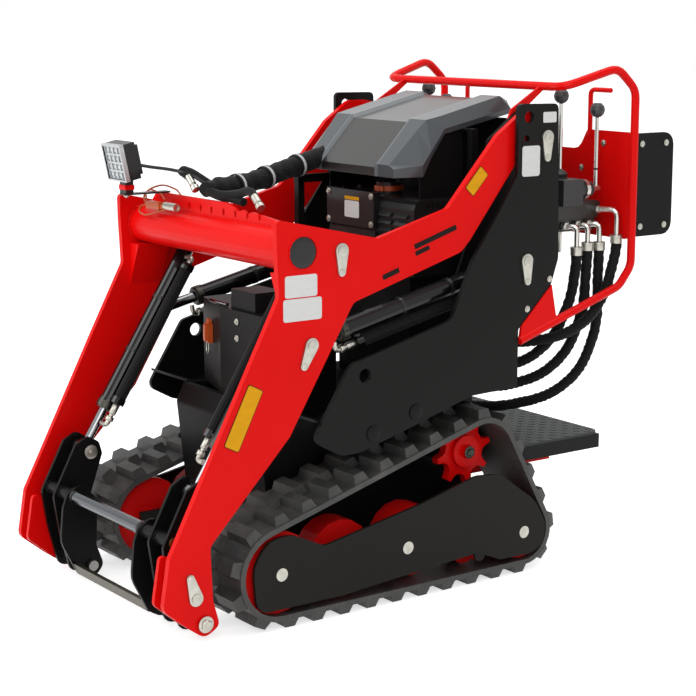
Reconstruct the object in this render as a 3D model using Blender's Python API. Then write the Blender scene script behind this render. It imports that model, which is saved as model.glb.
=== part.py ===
# Mini skid steer loader: a small tracked loader whose driver stands on a plate at the back.
# Metres, +Z up. The front is towards -Y, the machine's left side is +X and the ground is Z = 0.
# Lengthwise places are stations: Y counted from the front ground lug of the track.
# MIDDLE is the station halfway along the whole machine, and the root empty moves it to Y = 0.
import math

import bmesh
import bpy
from mathutils import Matrix, Vector

MIDDLE = 0.3575
SEAT_GAP = 0.0003
ROUND_SIDES = 20
ARC_STEP = math.radians(30)
PIN_SIDES = 12
FINE_STEPS = 16

# Widths, as distances from the middle plane X = 0
TRACK_OUTER = 0.366
TRACK_WIDTH = 0.180
SIDE_THICK = 0.010
ARM_THICK = 0.014
TOWER_THICK = 0.008
SIDE_OUTER = TRACK_OUTER - 0.007
SIDE_INNER = SIDE_OUTER - SIDE_THICK
ARM_OUTER = SIDE_INNER - 0.008
ARM_INNER = ARM_OUTER - ARM_THICK
LIFT_X = ARM_OUTER - 0.0415
TILT_X = ARM_OUTER - 0.091
TOWER_OUTER = LIFT_X - 0.0295
TOWER_INNER = TOWER_OUTER - TOWER_THICK
BELLY_HALF = TRACK_OUTER - TRACK_WIDTH - 0.008
CUT_MARGIN = 0.010  # how far a cutter reaches past the faces that it cuts

# Pivots, as (station, height)
ARM_PIVOT = (0.660, 1.021)
LIFT_BASE = (0.607, 0.732)
LIFT_EYE = (0.016, 0.597)
TILT_BASE = (0.095, 0.793)
TILT_EYE = (-0.222, 0.298)
COUPLER_PIVOT = (-0.254, 0.044)
CROSS_TUBE_AT = (-0.001, 0.806)
SICKLE_X = (TILT_X - 0.089, TILT_X - 0.081)
PIN_RADIUS = 0.0125
PIVOT_RADIUS = 0.016
BORE_GAP = 0.0006

# Lift and tilt cylinders
LIFT_BARREL_RADIUS = 0.0215
LIFT_ROD_RADIUS = 0.0125
LIFT_BARREL_LENGTH = 0.500
TILT_BARREL_RADIUS = 0.0190
TILT_ROD_RADIUS = 0.0100
TILT_BARREL_LENGTH = 0.478
ROD_START = 0.100
EYE_RADIUS = 0.023
EYE_WIDTH = 0.026
OPEN_PIVOT_GAP = 0.0035  # each rod's eye drifts, so its pin is two stubs that stop short of the eye
HOSE_RADIUS = 0.014
HOSE_CLAMPS = (0.100, 0.455)  # distances along a barrel of the two clamps that hold its hose

# Track: three wheels carry the belt
BELT_THICK = 0.012
LUG_HEIGHT = 0.020
LUG_PITCH = 0.072
LUG_BASE = 0.040
LUG_TIP = 0.024
LUG_SINK = 0.003
FRONT_IDLER_AT = (-0.076, 0.124)
REAR_IDLER_AT = (0.610, 0.099)
SPROCKET_AT = (0.487, 0.298)
FRONT_IDLER_RADIUS = FRONT_IDLER_AT[1] - LUG_HEIGHT - BELT_THICK
REAR_IDLER_RADIUS = REAR_IDLER_AT[1] - LUG_HEIGHT - BELT_THICK
SPROCKET_RADIUS = 0.080
SPROCKET_TEETH = 8
MOTOR_RADIUS = 0.038
MOTOR_FACE = BELLY_HALF + 0.077
BELT_SEAT = 0.0008

RED = (0.60, 0.008, 0.006)
BLACK = (0.020, 0.020, 0.019)
RUBBER = (0.022, 0.022, 0.021)
GREY_PLASTIC = (0.055, 0.060, 0.062)
SLEEVE = (0.015, 0.015, 0.015)
CHROME = (0.70, 0.70, 0.70)
DECK_GREY = (0.10, 0.10, 0.085)


def clear_scene():
    for item in list(bpy.data.objects):
        bpy.data.objects.remove(item, do_unlink=True)


def material(name, colour, roughness, metallic=0.0):
    """A Principled material, shared by the pieces that have the same finish."""
    found = bpy.data.materials.get(name)
    if found:
        return found
    made = bpy.data.materials.new(name)
    made.use_nodes = True
    shader = made.node_tree.nodes["Principled BSDF"]
    shader.inputs["Base Color"].default_value = (*colour, 1.0)
    shader.inputs["Roughness"].default_value = roughness
    shader.inputs["Metallic"].default_value = metallic
    made.diffuse_color = (*colour, 1.0)
    return made


def outline(rows):
    """Rows of (station, height, corner radius) as a closed outline with round corners."""
    points = []
    count = len(rows)
    for index, (station, height, radius) in enumerate(rows):
        here = Vector((station, height))
        if radius <= 0:
            points.append(here)
            continue
        before = (Vector(rows[index - 1][:2]) - here).normalized()
        after = (Vector(rows[(index + 1) % count][:2]) - here).normalized()
        half = before.angle(after) / 2
        reach = radius / math.tan(half)
        start, end = here + before * reach, here + after * reach
        centre = here + (before + after).normalized() * (radius / math.sin(half))
        first, last = start - centre, end - centre
        sweep = first.angle_signed(last)
        steps = max(1, math.ceil(abs(sweep) / ARC_STEP))
        for step in range(steps + 1):
            turn = Matrix.Rotation(-sweep * step / steps, 2)
            points.append(centre + turn @ first)
    return points


def new_object(name, mesh_maker):
    mesh = bpy.data.meshes.new(name)
    work = bmesh.new()
    mesh_maker(work)
    bmesh.ops.recalc_face_normals(work, faces=work.faces)
    work.to_mesh(mesh)
    work.free()
    made = bpy.data.objects.new(name, mesh)
    bpy.context.scene.collection.objects.link(made)
    return made


def prism(name, points, low, high, axis="X"):
    """A plate or block: an outline in the two other directions, extruded along an axis."""
    place = {"X": lambda p: (low, p[0], p[1]), "Y": lambda p: (p[0], low, p[1]),
             "Z": lambda p: (p[0], p[1], low)}[axis]
    reach = Vector((axis == "X", axis == "Y", axis == "Z")) * (high - low)

    def make(work):
        face = work.faces.new([work.verts.new(place(p)) for p in points])
        grown = bmesh.ops.extrude_face_region(work, geom=[face])
        moved = [g for g in grown["geom"] if isinstance(g, bmesh.types.BMVert)]
        bmesh.ops.translate(work, verts=moved, vec=reach)
    return new_object(name, make)


def ring_prism(name, outer, inner, x_low, x_high):
    """An outline with an inner outline cut out of it, extruded along X."""
    solid = prism(name, outer, x_low, x_high)
    return cut(solid, prism(name + "_hole", inner, x_low - CUT_MARGIN, x_high + CUT_MARGIN))


def box(name, low, high):
    def make(work):
        bmesh.ops.create_cube(work, size=1.0)
        size = Vector(high) - Vector(low)
        bmesh.ops.scale(work, verts=work.verts, vec=size)
        bmesh.ops.translate(work, verts=work.verts, vec=(Vector(high) + Vector(low)) / 2)
    return new_object(name, make)


def along(start, end):
    """The matrix that takes +Z to the direction from start to end, at start."""
    start, end = Vector(start), Vector(end)
    turn = (end - start).to_track_quat("Z", "Y").to_matrix().to_4x4()
    return Matrix.Translation(start) @ turn


def turned(name, start, end, profile, sides=ROUND_SIDES):
    """A turned piece on the line from start to end: rows of (distance along, radius)."""
    def make(work):
        rows = [(0.0, profile[0][0])] + [(r, d) for d, r in profile] + [(0.0, profile[-1][0])]
        rings = []
        for radius, distance in rows:
            if radius == 0.0:
                rings.append([work.verts.new((0, 0, distance))])
                continue
            angles = [2 * math.pi * k / sides for k in range(sides)]
            rings.append([work.verts.new((radius * math.cos(a), radius * math.sin(a), distance))
                          for a in angles])
        for low, high in zip(rings, rings[1:]):
            for k in range(sides):
                near, far = k, (k + 1) % sides
                if len(low) == 1:
                    work.faces.new((low[0], high[near], high[far]))
                elif len(high) == 1:
                    work.faces.new((low[near], low[far], high[0]))
                else:
                    work.faces.new((low[near], low[far], high[far], high[near]))
        bmesh.ops.dissolve_limit(work, angle_limit=0.01, verts=work.verts, edges=work.edges)
        bmesh.ops.transform(work, matrix=along(start, end), verts=work.verts)
    return new_object(name, make)


def rod(name, start, end, radius, sides=ROUND_SIDES):
    length = (Vector(end) - Vector(start)).length
    return turned(name, start, end, [(0.0, radius), (length, radius)], sides)


def cross_rod(name, at, x_low, x_high, radius, sides=ROUND_SIDES):
    """A round bar along X at a (station, height) place."""
    return rod(name, (x_low, *at), (x_high, *at), radius, sides)


def smooth_path(points, bend, steps=4):
    """A path of 3-D points whose inner corners become arcs of about the bend radius."""
    path = [Vector(points[0])]
    for before, here, after in zip(points, points[1:], points[2:]):
        here = Vector(here)
        to_before, to_after = Vector(before) - here, Vector(after) - here
        half = to_before.angle(to_after) / 2
        reach = min(bend / math.tan(half), to_before.length * 0.48, to_after.length * 0.48)
        start = here + to_before.normalized() * reach
        end = here + to_after.normalized() * reach
        for step in range(steps + 1):
            share = step / steps
            path.append(start.lerp(here, share).lerp(here.lerp(end, share), share))
    path.append(Vector(points[-1]))
    return path


def flowing_path(points, spacing):
    """Places read at about this spacing along one smooth curve through the points."""
    points = [Vector(p) for p in points]
    ends = [points[0] * 2 - points[1]] + points + [points[-1] * 2 - points[-2]]
    fine = []
    for before, here, ahead, after in zip(ends, ends[1:], ends[2:], ends[3:]):
        for step in range(FINE_STEPS):
            t = step / FINE_STEPS
            square = 2 * before - 5 * here + 4 * ahead - after
            cube = 3 * here - before - 3 * ahead + after
            fine.append(0.5 * (2 * here + (ahead - before) * t + square * t * t + cube * t ** 3))
    fine.append(points[-1])
    total = sum((b - a).length for a, b in zip(fine, fine[1:]))
    count = max(2, round(total / spacing))
    path, passed = [fine[0]], 0.0
    for a, b in zip(fine, fine[1:]):
        passed += (b - a).length
        if passed >= len(path) * total / count and len(path) < count:
            path.append(b)
    return path + [fine[-1]]


def pipe(name, path, radius, resolution=3):
    """A round bar or hose along a path, as a bevelled curve with filled caps."""
    curve = bpy.data.curves.new(name, "CURVE")
    curve.dimensions = "3D"
    spline = curve.splines.new("POLY")
    spline.points.add(len(path) - 1)
    for point, place in zip(spline.points, path):
        point.co = (*place, 1.0)
    curve.bevel_depth = radius
    curve.bevel_resolution = resolution
    curve.use_fill_caps = True
    holder = bpy.data.objects.new(name + "_curve", curve)
    bpy.context.scene.collection.objects.link(holder)
    depsgraph = bpy.context.evaluated_depsgraph_get()
    mesh = bpy.data.meshes.new_from_object(holder.evaluated_get(depsgraph))
    bpy.data.objects.remove(holder)
    made = bpy.data.objects.new(name, mesh)
    bpy.context.scene.collection.objects.link(made)
    work = bmesh.new()
    work.from_mesh(mesh)
    bmesh.ops.remove_doubles(work, verts=work.verts, dist=0.00002)
    bmesh.ops.recalc_face_normals(work, faces=work.faces)
    work.to_mesh(mesh)
    work.free()
    return made


def combine(base, tool, operation):
    change = base.modifiers.new(operation.title(), "BOOLEAN")
    change.operation = operation
    change.solver = "EXACT"
    change.object = tool
    depsgraph = bpy.context.evaluated_depsgraph_get()
    mesh = bpy.data.meshes.new_from_object(base.evaluated_get(depsgraph))
    base.modifiers.clear()
    base.data = mesh
    bpy.data.objects.remove(tool)
    return base


def fuse(base, *pieces):
    for piece in pieces:
        combine(base, piece, "UNION")
    return base


def cut(base, *tools):
    for tool in tools:
        combine(base, tool, "DIFFERENCE")
    return base


def finish(made, carrier, surface):
    """Give a piece its material and smooth shading, and hang it on its carrier's axis."""
    work = bmesh.new()
    work.from_mesh(made.data)
    bmesh.ops.remove_doubles(work, verts=work.verts, dist=0.00001)
    work.to_mesh(made.data)
    work.free()
    made.data.materials.clear()
    made.data.materials.append(surface)
    made.data.shade_smooth()
    made.data.set_sharp_from_angle(angle=math.radians(30))
    pivot = carrier["pivot"]
    made.data.transform(Matrix.Translation(-Vector(pivot)))
    made.parent = carrier
    return made


def axis_empty(name, parent, at, x=0.0):
    """An empty on a joint's axis, which carries the pieces that turn or slide there."""
    empty = bpy.data.objects.new(name, None)
    bpy.context.scene.collection.objects.link(empty)
    pivot = Vector((x, *at))
    empty["pivot"] = pivot
    empty.location = pivot - Vector(parent["pivot"]) if parent else pivot
    empty.parent = parent
    return empty


def left_right(side):
    return "left" if side > 0 else "right"


def span(side, near, far):
    """Two X values in rising order, for distances from the middle on one side."""
    return tuple(sorted((side * near, side * far)))


# Track belt

def belt_wheels(offset):
    """Centre and radius of the three wheels, in the order in which the belt passes them."""
    return [(Vector(FRONT_IDLER_AT), FRONT_IDLER_RADIUS + offset),
            (Vector(REAR_IDLER_AT), REAR_IDLER_RADIUS + offset),
            (Vector(SPROCKET_AT), SPROCKET_RADIUS + offset)]


def belt_runs(offset):
    """The belt's path as runs of (length, place at a distance), in arcs and straights."""
    wheels = belt_wheels(offset)
    normals = []
    for (centre, radius), (ahead, radius_ahead) in zip(wheels, wheels[1:] + wheels[:1]):
        gap = ahead - centre
        forward = gap.normalized()
        right = Vector((forward.y, -forward.x))
        lean = (radius - radius_ahead) / gap.length
        normals.append(forward * lean + right * math.sqrt(1 - lean * lean))
    runs = []
    for index, (centre, radius) in enumerate(wheels):
        arrive, leave = normals[index - 1], normals[index]
        start = math.atan2(arrive.y, arrive.x)
        turn = (math.atan2(leave.y, leave.x) - start) % (2 * math.pi)
        runs.append(("arc", radius * turn, centre, radius, start))
        ahead, radius_ahead = wheels[(index + 1) % len(wheels)]
        first, last = centre + leave * radius, ahead + leave * radius_ahead
        runs.append(("straight", (last - first).length, first, last, leave))
    return runs


def belt_point(runs, distance):
    """The place and outward direction at a distance along the belt's path."""
    distance %= sum(run[1] for run in runs)
    for run in runs:
        if distance <= run[1]:
            break
        distance -= run[1]
    if run[0] == "arc":
        centre, radius, start = run[2:]
        angle = start + distance / radius
        normal = Vector((math.cos(angle), math.sin(angle)))
        return centre + normal * radius, normal
    first, last, normal = run[2:]
    return first.lerp(last, distance / run[1]), normal


def belt_outline(offset, arc_step=math.radians(12)):
    points = []
    for run in belt_runs(offset):
        if run[0] != "arc":
            continue
        centre, radius, start = run[2:]
        turn = run[1] / radius
        steps = max(2, round(turn / arc_step))
        for step in range(steps + 1):
            angle = start + turn * step / steps
            points.append(centre + Vector((math.cos(angle), math.sin(angle))) * radius)
    return points


def make_lugs(name, runs, distances, corners):
    """A row of lugs: corners are (x, half length along the belt, height over the belt)."""
    def make(work):
        for distance in distances:
            rings = []
            for x, half, height in corners:
                ends = [belt_point(runs, distance + way * half) for way in (-1, 1)]
                spots = [place + normal * height for place, normal in ends]
                rings.append([work.verts.new((x, spot.x, spot.y)) for spot in spots])
            for near, far in zip(rings, rings[1:] + rings[:1]):
                work.faces.new((near[0], near[1], far[1], far[0]))
            work.faces.new([pair[0] for pair in rings])
            work.faces.new([pair[1] for pair in reversed(rings)])
    return new_object(name, make)


def make_track(side):
    """The rubber belt with two staggered rows of lugs, as one fixed loop."""
    name = "track_" + left_right(side)
    inner_edge = TRACK_OUTER - TRACK_WIDTH
    x_low, x_high = span(side, inner_edge, TRACK_OUTER)
    belt = ring_prism(name, belt_outline(BELT_THICK), belt_outline(0.0), x_low, x_high)
    runs = belt_runs(BELT_THICK)
    total = sum(run[1] for run in runs)
    count = round(total / LUG_PITCH)
    pitch = total / count
    middle = (inner_edge + TRACK_OUTER) / 2
    # Rows of lugs: base from, base to, tip from, tip to, as distances from the middle plane, phase
    lug_rows = [(inner_edge + 0.003, middle + 0.004, inner_edge + 0.010, middle - 0.003, 0.0),
                (middle - 0.004, TRACK_OUTER - 0.003, middle + 0.003, TRACK_OUTER - 0.010, 0.5)]
    for base_from, base_to, tip_from, tip_to, phase in lug_rows:
        corners = [(side * base_from, LUG_BASE / 2, -LUG_SINK), (side * base_to, LUG_BASE / 2, -LUG_SINK),
                   (side * tip_to, LUG_TIP / 2, LUG_HEIGHT), (side * tip_from, LUG_TIP / 2, LUG_HEIGHT)]
        fuse(belt, make_lugs(name + "_lugs", runs, [(index + phase) * pitch for index in range(count)],
                             corners))
    return belt


FRAME_OUTLINE = [  # station, height, corner radius of the track frame's outer plate
    (-0.140, 0.060, 0.03), (-0.148, 0.150, 0.06), (-0.110, 0.204, 0.05), (-0.050, 0.208, 0.04),
    (0.036, 0.168, 0.03), (0.296, 0.217, 0.0), (0.461, 0.258, 0.04), (0.530, 0.252, 0.05),
    (0.640, 0.172, 0.06), (0.675, 0.110, 0.04), (0.668, 0.060, 0.03), (0.628, 0.044, 0.02),
    (0.535, 0.046, 0.0), (0.467, 0.074, 0.02), (0.171, 0.054, 0.0), (0.089, 0.047, 0.0),
    (-0.118, 0.047, 0.02)]
INNER_BEAM = [  # station, height, corner radius of the beam beside the belly
    (-0.110, 0.085, 0.0), (0.640, 0.085, 0.0), (0.640, 0.140, 0.0), (-0.110, 0.140, 0.0)]
ROLLERS = [(0.118, 0.083), (0.320, 0.083), (0.475, 0.036)]  # station and radius of each ground roller


AXLE_RADIUS = 0.016
IDLER_RIMS = [(0.020, 0.056), (0.128, 0.164)]  # each rim's reach, as distances from the wheel's inner end
ROLLER_RIMS = [(0.062, 0.122)]


def wheel(name, side, at, radius, rims, sides):
    """One wheel turned with its axle, from the track's inner edge to its outer plate."""
    start, end = TRACK_OUTER - TRACK_WIDTH - 0.002, TRACK_OUTER - 0.002
    profile = [(0.0, AXLE_RADIUS)]
    for low, high in rims:
        profile += [(low, AXLE_RADIUS), (low, radius), (high, radius), (high, AXLE_RADIUS)]
    profile += [(end - start, AXLE_RADIUS)]
    return turned(name, (side * start, *at), (side * end, *at), profile, sides)


def make_track_frame(side):
    """Two plates, the idlers and the ground rollers between them, on their axles."""
    name = "track_frame_" + left_right(side)
    plates = outline(FRAME_OUTLINE)
    frame = prism(name, plates, *span(side, TRACK_OUTER - 0.008, TRACK_OUTER))
    beam = prism(name + "_beam", outline(INNER_BEAM), *span(side, BELLY_HALF + SEAT_GAP, BELLY_HALF + 0.012))
    wheels = [(FRONT_IDLER_AT, FRONT_IDLER_RADIUS - BELT_SEAT, IDLER_RIMS, 20),
              (REAR_IDLER_AT, REAR_IDLER_RADIUS - BELT_SEAT, IDLER_RIMS, 20)]
    ground = FRONT_IDLER_AT[1] - FRONT_IDLER_RADIUS
    wheels += [((station, ground + radius + BELT_SEAT), radius, ROLLER_RIMS, 16) for station,
               radius in ROLLERS]
    fuse(frame, *[wheel(name + "_wheel", side, *row) for row in wheels])
    return fuse(frame, beam)


def make_sprocket(side):
    name = "sprocket_" + left_right(side)
    root, tip = SPROCKET_RADIUS - 0.024, SPROCKET_RADIUS - BELT_SEAT
    points = []
    for tooth in range(SPROCKET_TEETH):
        for share, radius in ((-0.34, root), (-0.20, root + 0.006), (-0.10, tip), (0.10, tip),
                              (0.20, root + 0.006),
                              (0.34, root)):
            angle = 2 * math.pi * (tooth + share + 0.25) / SPROCKET_TEETH
            points.append((SPROCKET_AT[0] + radius * math.cos(angle),
                           SPROCKET_AT[1] + radius * math.sin(angle)))
    gear = prism(name, points, *span(side, MOTOR_FACE + 0.011, MOTOR_FACE + 0.031))
    hub = cross_rod(name + "_hub", SPROCKET_AT, *span(side, MOTOR_FACE, MOTOR_FACE + 0.041), 0.038)
    nut = cross_rod(name + "_nut", SPROCKET_AT, *span(side, MOTOR_FACE + 0.035, MOTOR_FACE + 0.051), 0.016, 6)
    return fuse(gear, hub, nut)


# Chassis

SIDE_PLATE = [  # station, height, corner radius
    (0.574, 1.098, 0.012), (0.694, 1.096, 0.012), (0.703, 0.740, 0.02), (0.682, 0.680, 0.02),
    (0.584, 0.585, 0.01), (0.584, 0.450, 0.0), (0.448, 0.446, 0.0), (0.244, 0.388, 0.0),
    (0.132, 0.359, 0.03), (0.085, 0.359, 0.03), (0.010, 0.400, 0.02), (0.110, 0.556, 0.02),
    (0.388, 0.626, 0.03), (0.444, 0.751, 0.03), (0.523, 0.861, 0.0), (0.574, 0.939, 0.02)]
SIDE_HOLES = [  # station, height, radius of the plain holes in the outer side plate
    (0.148, 0.528, 0.016), (0.606, 1.068, 0.0135), (0.600, 1.020, 0.008)]


def make_side_plate(side):
    """The outer side plate, with the arm's and the lift cylinder's fixed pins."""
    name = "side_plate_" + left_right(side)
    plate = prism(name, outline(SIDE_PLATE), *span(side, SIDE_INNER, SIDE_OUTER))
    through = span(side, SIDE_INNER - CUT_MARGIN, SIDE_OUTER + CUT_MARGIN)
    for station, height, radius in SIDE_HOLES:
        cut(plate, cross_rod(name + "_hole", (station, height), *through, radius, 16))
    for at, radius in ((ARM_PIVOT, PIVOT_RADIUS), (LIFT_BASE, PIN_RADIUS)):
        fuse(plate, cross_rod(name + "_pin", at, *span(side, TOWER_INNER, SIDE_OUTER + 0.004), radius,
                              PIN_SIDES))
    return plate


TUB_SIDE = [  # station, height, corner radius
    (0.020, 0.130, 0.02), (0.600, 0.130, 0.02), (0.600, 0.440, 0.0), (0.010, 0.440, 0.0),
    (-0.010, 0.400, 0.02)]
TUB_WALL = 0.006
ENGINE_FLOOR_START = 0.250
BULKHEAD_TOP = 0.560
HOSE_PORTS = [  # distance from the middle plane and height where each rear hose enters the bulkhead
    (0.150, 0.455), (0.100, 0.400), (0.050, 0.345), (0.095, 0.520)]
PORT_LENGTH = 0.015


def make_belly_tub():
    """The tub between the tracks: open at the front top, with drive motors and the hoses' bulkhead."""
    tub = prism("belly_tub", outline(TUB_SIDE), -BELLY_HALF, BELLY_HALF)
    front, bottom = TUB_SIDE[0][:2]
    back, top = TUB_SIDE[2][:2]
    cut(tub, box("tub_inside", (-BELLY_HALF + TUB_WALL, front + TUB_WALL, bottom + TUB_WALL),
                 (BELLY_HALF - TUB_WALL, back - TUB_WALL, top + CUT_MARGIN)))
    fuse(tub, box("engine_floor", (-BELLY_HALF, ENGINE_FLOOR_START, top - TUB_WALL), (BELLY_HALF, back, top)))
    fuse(tub, box("bulkhead", (-BELLY_HALF, back - TUB_WALL, top - TUB_WALL),
                  (BELLY_HALF, back, BULKHEAD_TOP)))
    for side in (1, -1):
        fuse(tub, cross_rod("motor", SPROCKET_AT, *span(side, BELLY_HALF - TUB_WALL / 2,
                                                        MOTOR_FACE - SEAT_GAP),
                            MOTOR_RADIUS, 16))
        for x, height in HOSE_PORTS:
            fuse(tub, rod("port", (side * x, back - TUB_WALL / 2, height),
                          (side * x, back + PORT_LENGTH, height),
                          0.011, 8))
    return tub


FENDER = [  # station, height of the plate over each track, its lower face first
    (0.020, 0.440), (0.130, 0.400), (0.244, 0.420), (0.440, 0.462), (0.584, 0.462), (0.584, 0.468),
    (0.440, 0.468),
    (0.244, 0.426), (0.130, 0.406), (0.020, 0.446)]
FENDER_TOP = FENDER[5][1]


def make_fender(side):
    return prism("fender_" + left_right(side), FENDER, *span(side, BELLY_HALF + SEAT_GAP,
        SIDE_INNER - SEAT_GAP))


TOWER_SIDE = [  # station, height, corner radius
    (0.470, FENDER_TOP + SEAT_GAP, 0.0), (0.583, FENDER_TOP + SEAT_GAP, 0.0), (0.586, 0.590, 0.0),
    (0.690, 0.690, 0.02),
    (0.697, 0.760, 0.0), (0.690, 1.092, 0.01), (0.670, 1.092, 0.01), (0.560, 1.012, 0.01),
    (0.552, 0.900, 0.0),
    (0.470, 0.700, 0.02)]


def make_tower(side):
    """The inner plate that carries the other end of the arm's and the cylinder's pins."""
    tower = prism("tower_" + left_right(side), outline(TOWER_SIDE), *span(side, TOWER_INNER, TOWER_OUTER))
    through = span(side, TOWER_INNER - CUT_MARGIN, TOWER_OUTER + CUT_MARGIN)
    for at, radius in ((ARM_PIVOT, PIVOT_RADIUS), (LIFT_BASE, PIN_RADIUS)):
        cut(tower, cross_rod("tower_hole", at, *through, radius + BORE_GAP, PIN_SIDES))
    return tower


REAR_PLATE_AT = (0.686, 0.692)
REAR_PLATE_HEIGHTS = (0.600, 1.055)


def make_rear_plate():
    half = TOWER_INNER - SEAT_GAP
    return box("rear_plate", (-half, REAR_PLATE_AT[0], REAR_PLATE_HEIGHTS[0]),
               (half, REAR_PLATE_AT[1], REAR_PLATE_HEIGHTS[1]))


NOSE_PLAN = [  # x as a share of the belly's half width, station of the closed box in front of the engine
    (-1.0, 0.068), (-0.17, 0.022), (1.0, 0.022), (1.0, 0.200), (-1.0, 0.200)]
NOSE_TOP = 0.640


def make_nose():
    """The bolted box in front of the engine, one corner cut off, with a smaller box on top."""
    low = TUB_SIDE[2][1] + SEAT_GAP
    nose = prism("nose_box", [(share * BELLY_HALF, y) for share, y in NOSE_PLAN], low, NOSE_TOP, "Z")
    return fuse(nose, box("nose_top", (0.0, 0.034, NOSE_TOP - 0.010), (0.100, 0.110, NOSE_TOP + 0.045)))


HOOD_POST_X = (0.206, 0.226)
HOOD_POSTS = [  # sides, station of the post's front face, foot, top
    ((-1,), 0.360, 0.4554, 0.930), ((1, -1), 0.550, FENDER_TOP + SEAT_GAP, 1.0364)]
POST_DEPTH = 0.020
TAB_REACH = 0.165
TAB_THICK = 0.006
RAIL_HEIGHTS = (0.890, 0.910)
CLOSING_X = (0.176, 0.180)
CLOSING_EDGE = [  # station, height of the top edge of the sheet that closes each side under the hood
    (0.435, 0.932), (0.457, 0.966), (0.498, 1.020), (0.560, 1.033)]


def make_hood_frame():
    """The posts that carry the hood on inward tabs, their rails and the two closing sheets."""
    back = HOOD_POSTS[-1][1] + POST_DEPTH
    inner, outer = HOOD_POST_X
    low, high = RAIL_HEIGHTS
    frame = box("hood_frame", (-outer, HOOD_POSTS[0][1], low), (-inner, back, high))
    fuse(frame, box("cross_rail", (-inner - 0.010, back - POST_DEPTH + 0.001, low + 0.001),
                    (inner + 0.010, back - 0.001, high - 0.001)))
    for sides, station, foot, top in HOOD_POSTS:
        for side in sides:
            x_low, x_high = span(side, inner + 0.001, outer - 0.001)
            fuse(frame, box("post", (x_low, station + 0.001, foot),
                            (x_high, station + POST_DEPTH - 0.001, top - SEAT_GAP)))
            x_low, x_high = span(side, TAB_REACH, inner + 0.005)
            fuse(frame, box("tab", (x_low, station + 0.003, top - TAB_THICK),
                            (x_high, station + POST_DEPTH - 0.003, top - SEAT_GAP)))
    foot = SHROUD_TOP + SEAT_GAP
    sheet = [(CLOSING_EDGE[0][0], foot)] + CLOSING_EDGE + [(CLOSING_EDGE[-1][0], foot)]
    for side in (1, -1):
        fuse(frame, prism("closing_sheet", sheet, *span(side, *CLOSING_X)))
    return frame


ENGINE_X = (-0.105, BELLY_HALF - 0.002)
ENGINE_Y = (0.410, 0.545)
ENGINE_TOP = 0.845


def make_engine():
    """The engine, closed in by its shroud: one plain block at its real place and size."""
    return box("engine_block", (ENGINE_X[0], ENGINE_Y[0], TUB_SIDE[2][1] + SEAT_GAP),
               (ENGINE_X[1], ENGINE_Y[1], ENGINE_TOP))


SHROUD_WALL = 0.005
SHROUD_HALF = 0.198
SHROUD_LOW = 0.700
SHROUD_TOP = 0.878
SHROUD_CURVE = [  # back from the front, down from the top
    (0.030, 0.0), (0.014, 0.003), (0.004, 0.011), (0.0, 0.024)]
LOUVRE_COLUMNS = (0.069, 0.130)
LOUVRE_ROWS = (0.847, 0.829, 0.811, 0.793, 0.775, 0.757)
LOUVRE_SIZE = (0.048, 0.009, 0.012)  # length, reach, height
GRILLE_SLOTS = 6
GRILLE_PITCH = 0.014
GRILLE_DROPS = (0.022, 0.010)  # lowest and highest place of the slots, down from the top
FRONT_BOXES = [  # x from, x to, reach, height from, height to
    (-0.127, 0.062, 0.014, 0.801, 0.886), (-0.122, 0.060, 0.008, 0.764, 0.795)]
FILTER_AT = (0.030, 0.459)
FILTER_SHAPE = [(0.0, 0.030), (0.030, 0.030), (0.040, 0.022)]


def make_engine_shroud():
    """The sheet cover round the engine: louvred front, slotted side, two boxes and an air filter."""
    x_low, x_high = ENGINE_X[0] - SHROUD_WALL - 0.001, SHROUD_HALF
    front = ENGINE_Y[0] - 0.001 - SHROUD_WALL
    back = ENGINE_Y[1]
    curve = [(front + reach, SHROUD_TOP - drop) for reach, drop in SHROUD_CURVE]
    side = [(front, SHROUD_LOW), (back, SHROUD_LOW), (back, SHROUD_TOP)] + curve
    shroud = prism("engine_shroud", side, x_low, x_high)
    cut(shroud, box("engine_room", (ENGINE_X[0] - SEAT_GAP, ENGINE_Y[0] - SEAT_GAP, SHROUD_LOW - CUT_MARGIN),
                    (x_high - SHROUD_WALL, back + CUT_MARGIN, ENGINE_TOP + SEAT_GAP)))
    length, reach, height = LOUVRE_SIZE
    for x in LOUVRE_COLUMNS:
        for row in LOUVRE_ROWS:
            blade = [(front + 0.001, row), (front - reach, row - height), (front + 0.001, row - height)]
            fuse(shroud, prism("louvre", blade, x, x + length))
    low, high = (SHROUD_TOP - drop for drop in GRILLE_DROPS)
    for slot in range(GRILLE_SLOTS):
        start = front + 0.036 + slot * GRILLE_PITCH
        cut(shroud, box("slot", (x_high - 0.004, start, low), (x_high + CUT_MARGIN, start + 0.007, high)))
    for x_from, x_to, reach, low, high in FRONT_BOXES:
        fuse(shroud, box("front_box", (x_from, front - reach, low), (x_to, front + 0.004, high)))
    return fuse(shroud, turned("filter_pot", (*FILTER_AT, SHROUD_TOP - 0.002),
                               (*FILTER_AT, SHROUD_TOP + 0.038),
                               FILTER_SHAPE, 12))


HOOD_SECTIONS = [  # station, ridge's height and half width, side edge's height and half width, bottom height
    (0.360, 0.958, 0.160, 0.950, 0.177, 0.930), (0.432, 1.034, 0.170, 0.957, 0.195, 0.930),
    (0.455, 1.058, 0.175, 0.987, 0.195, 0.972), (0.498, 1.067, 0.180, 1.037, 0.190, 1.025),
    (0.670, 1.107, 0.180, 1.073, 0.190, 1.0606), (0.696, 1.095, 0.176, 1.078, 0.190, 1.066)]
HOOD_THICK = 0.004
HOOD_PANEL = (0.112, 0.105, 0.008)  # the sunk middle panel's half widths at its brim and floor, and its depth


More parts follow.
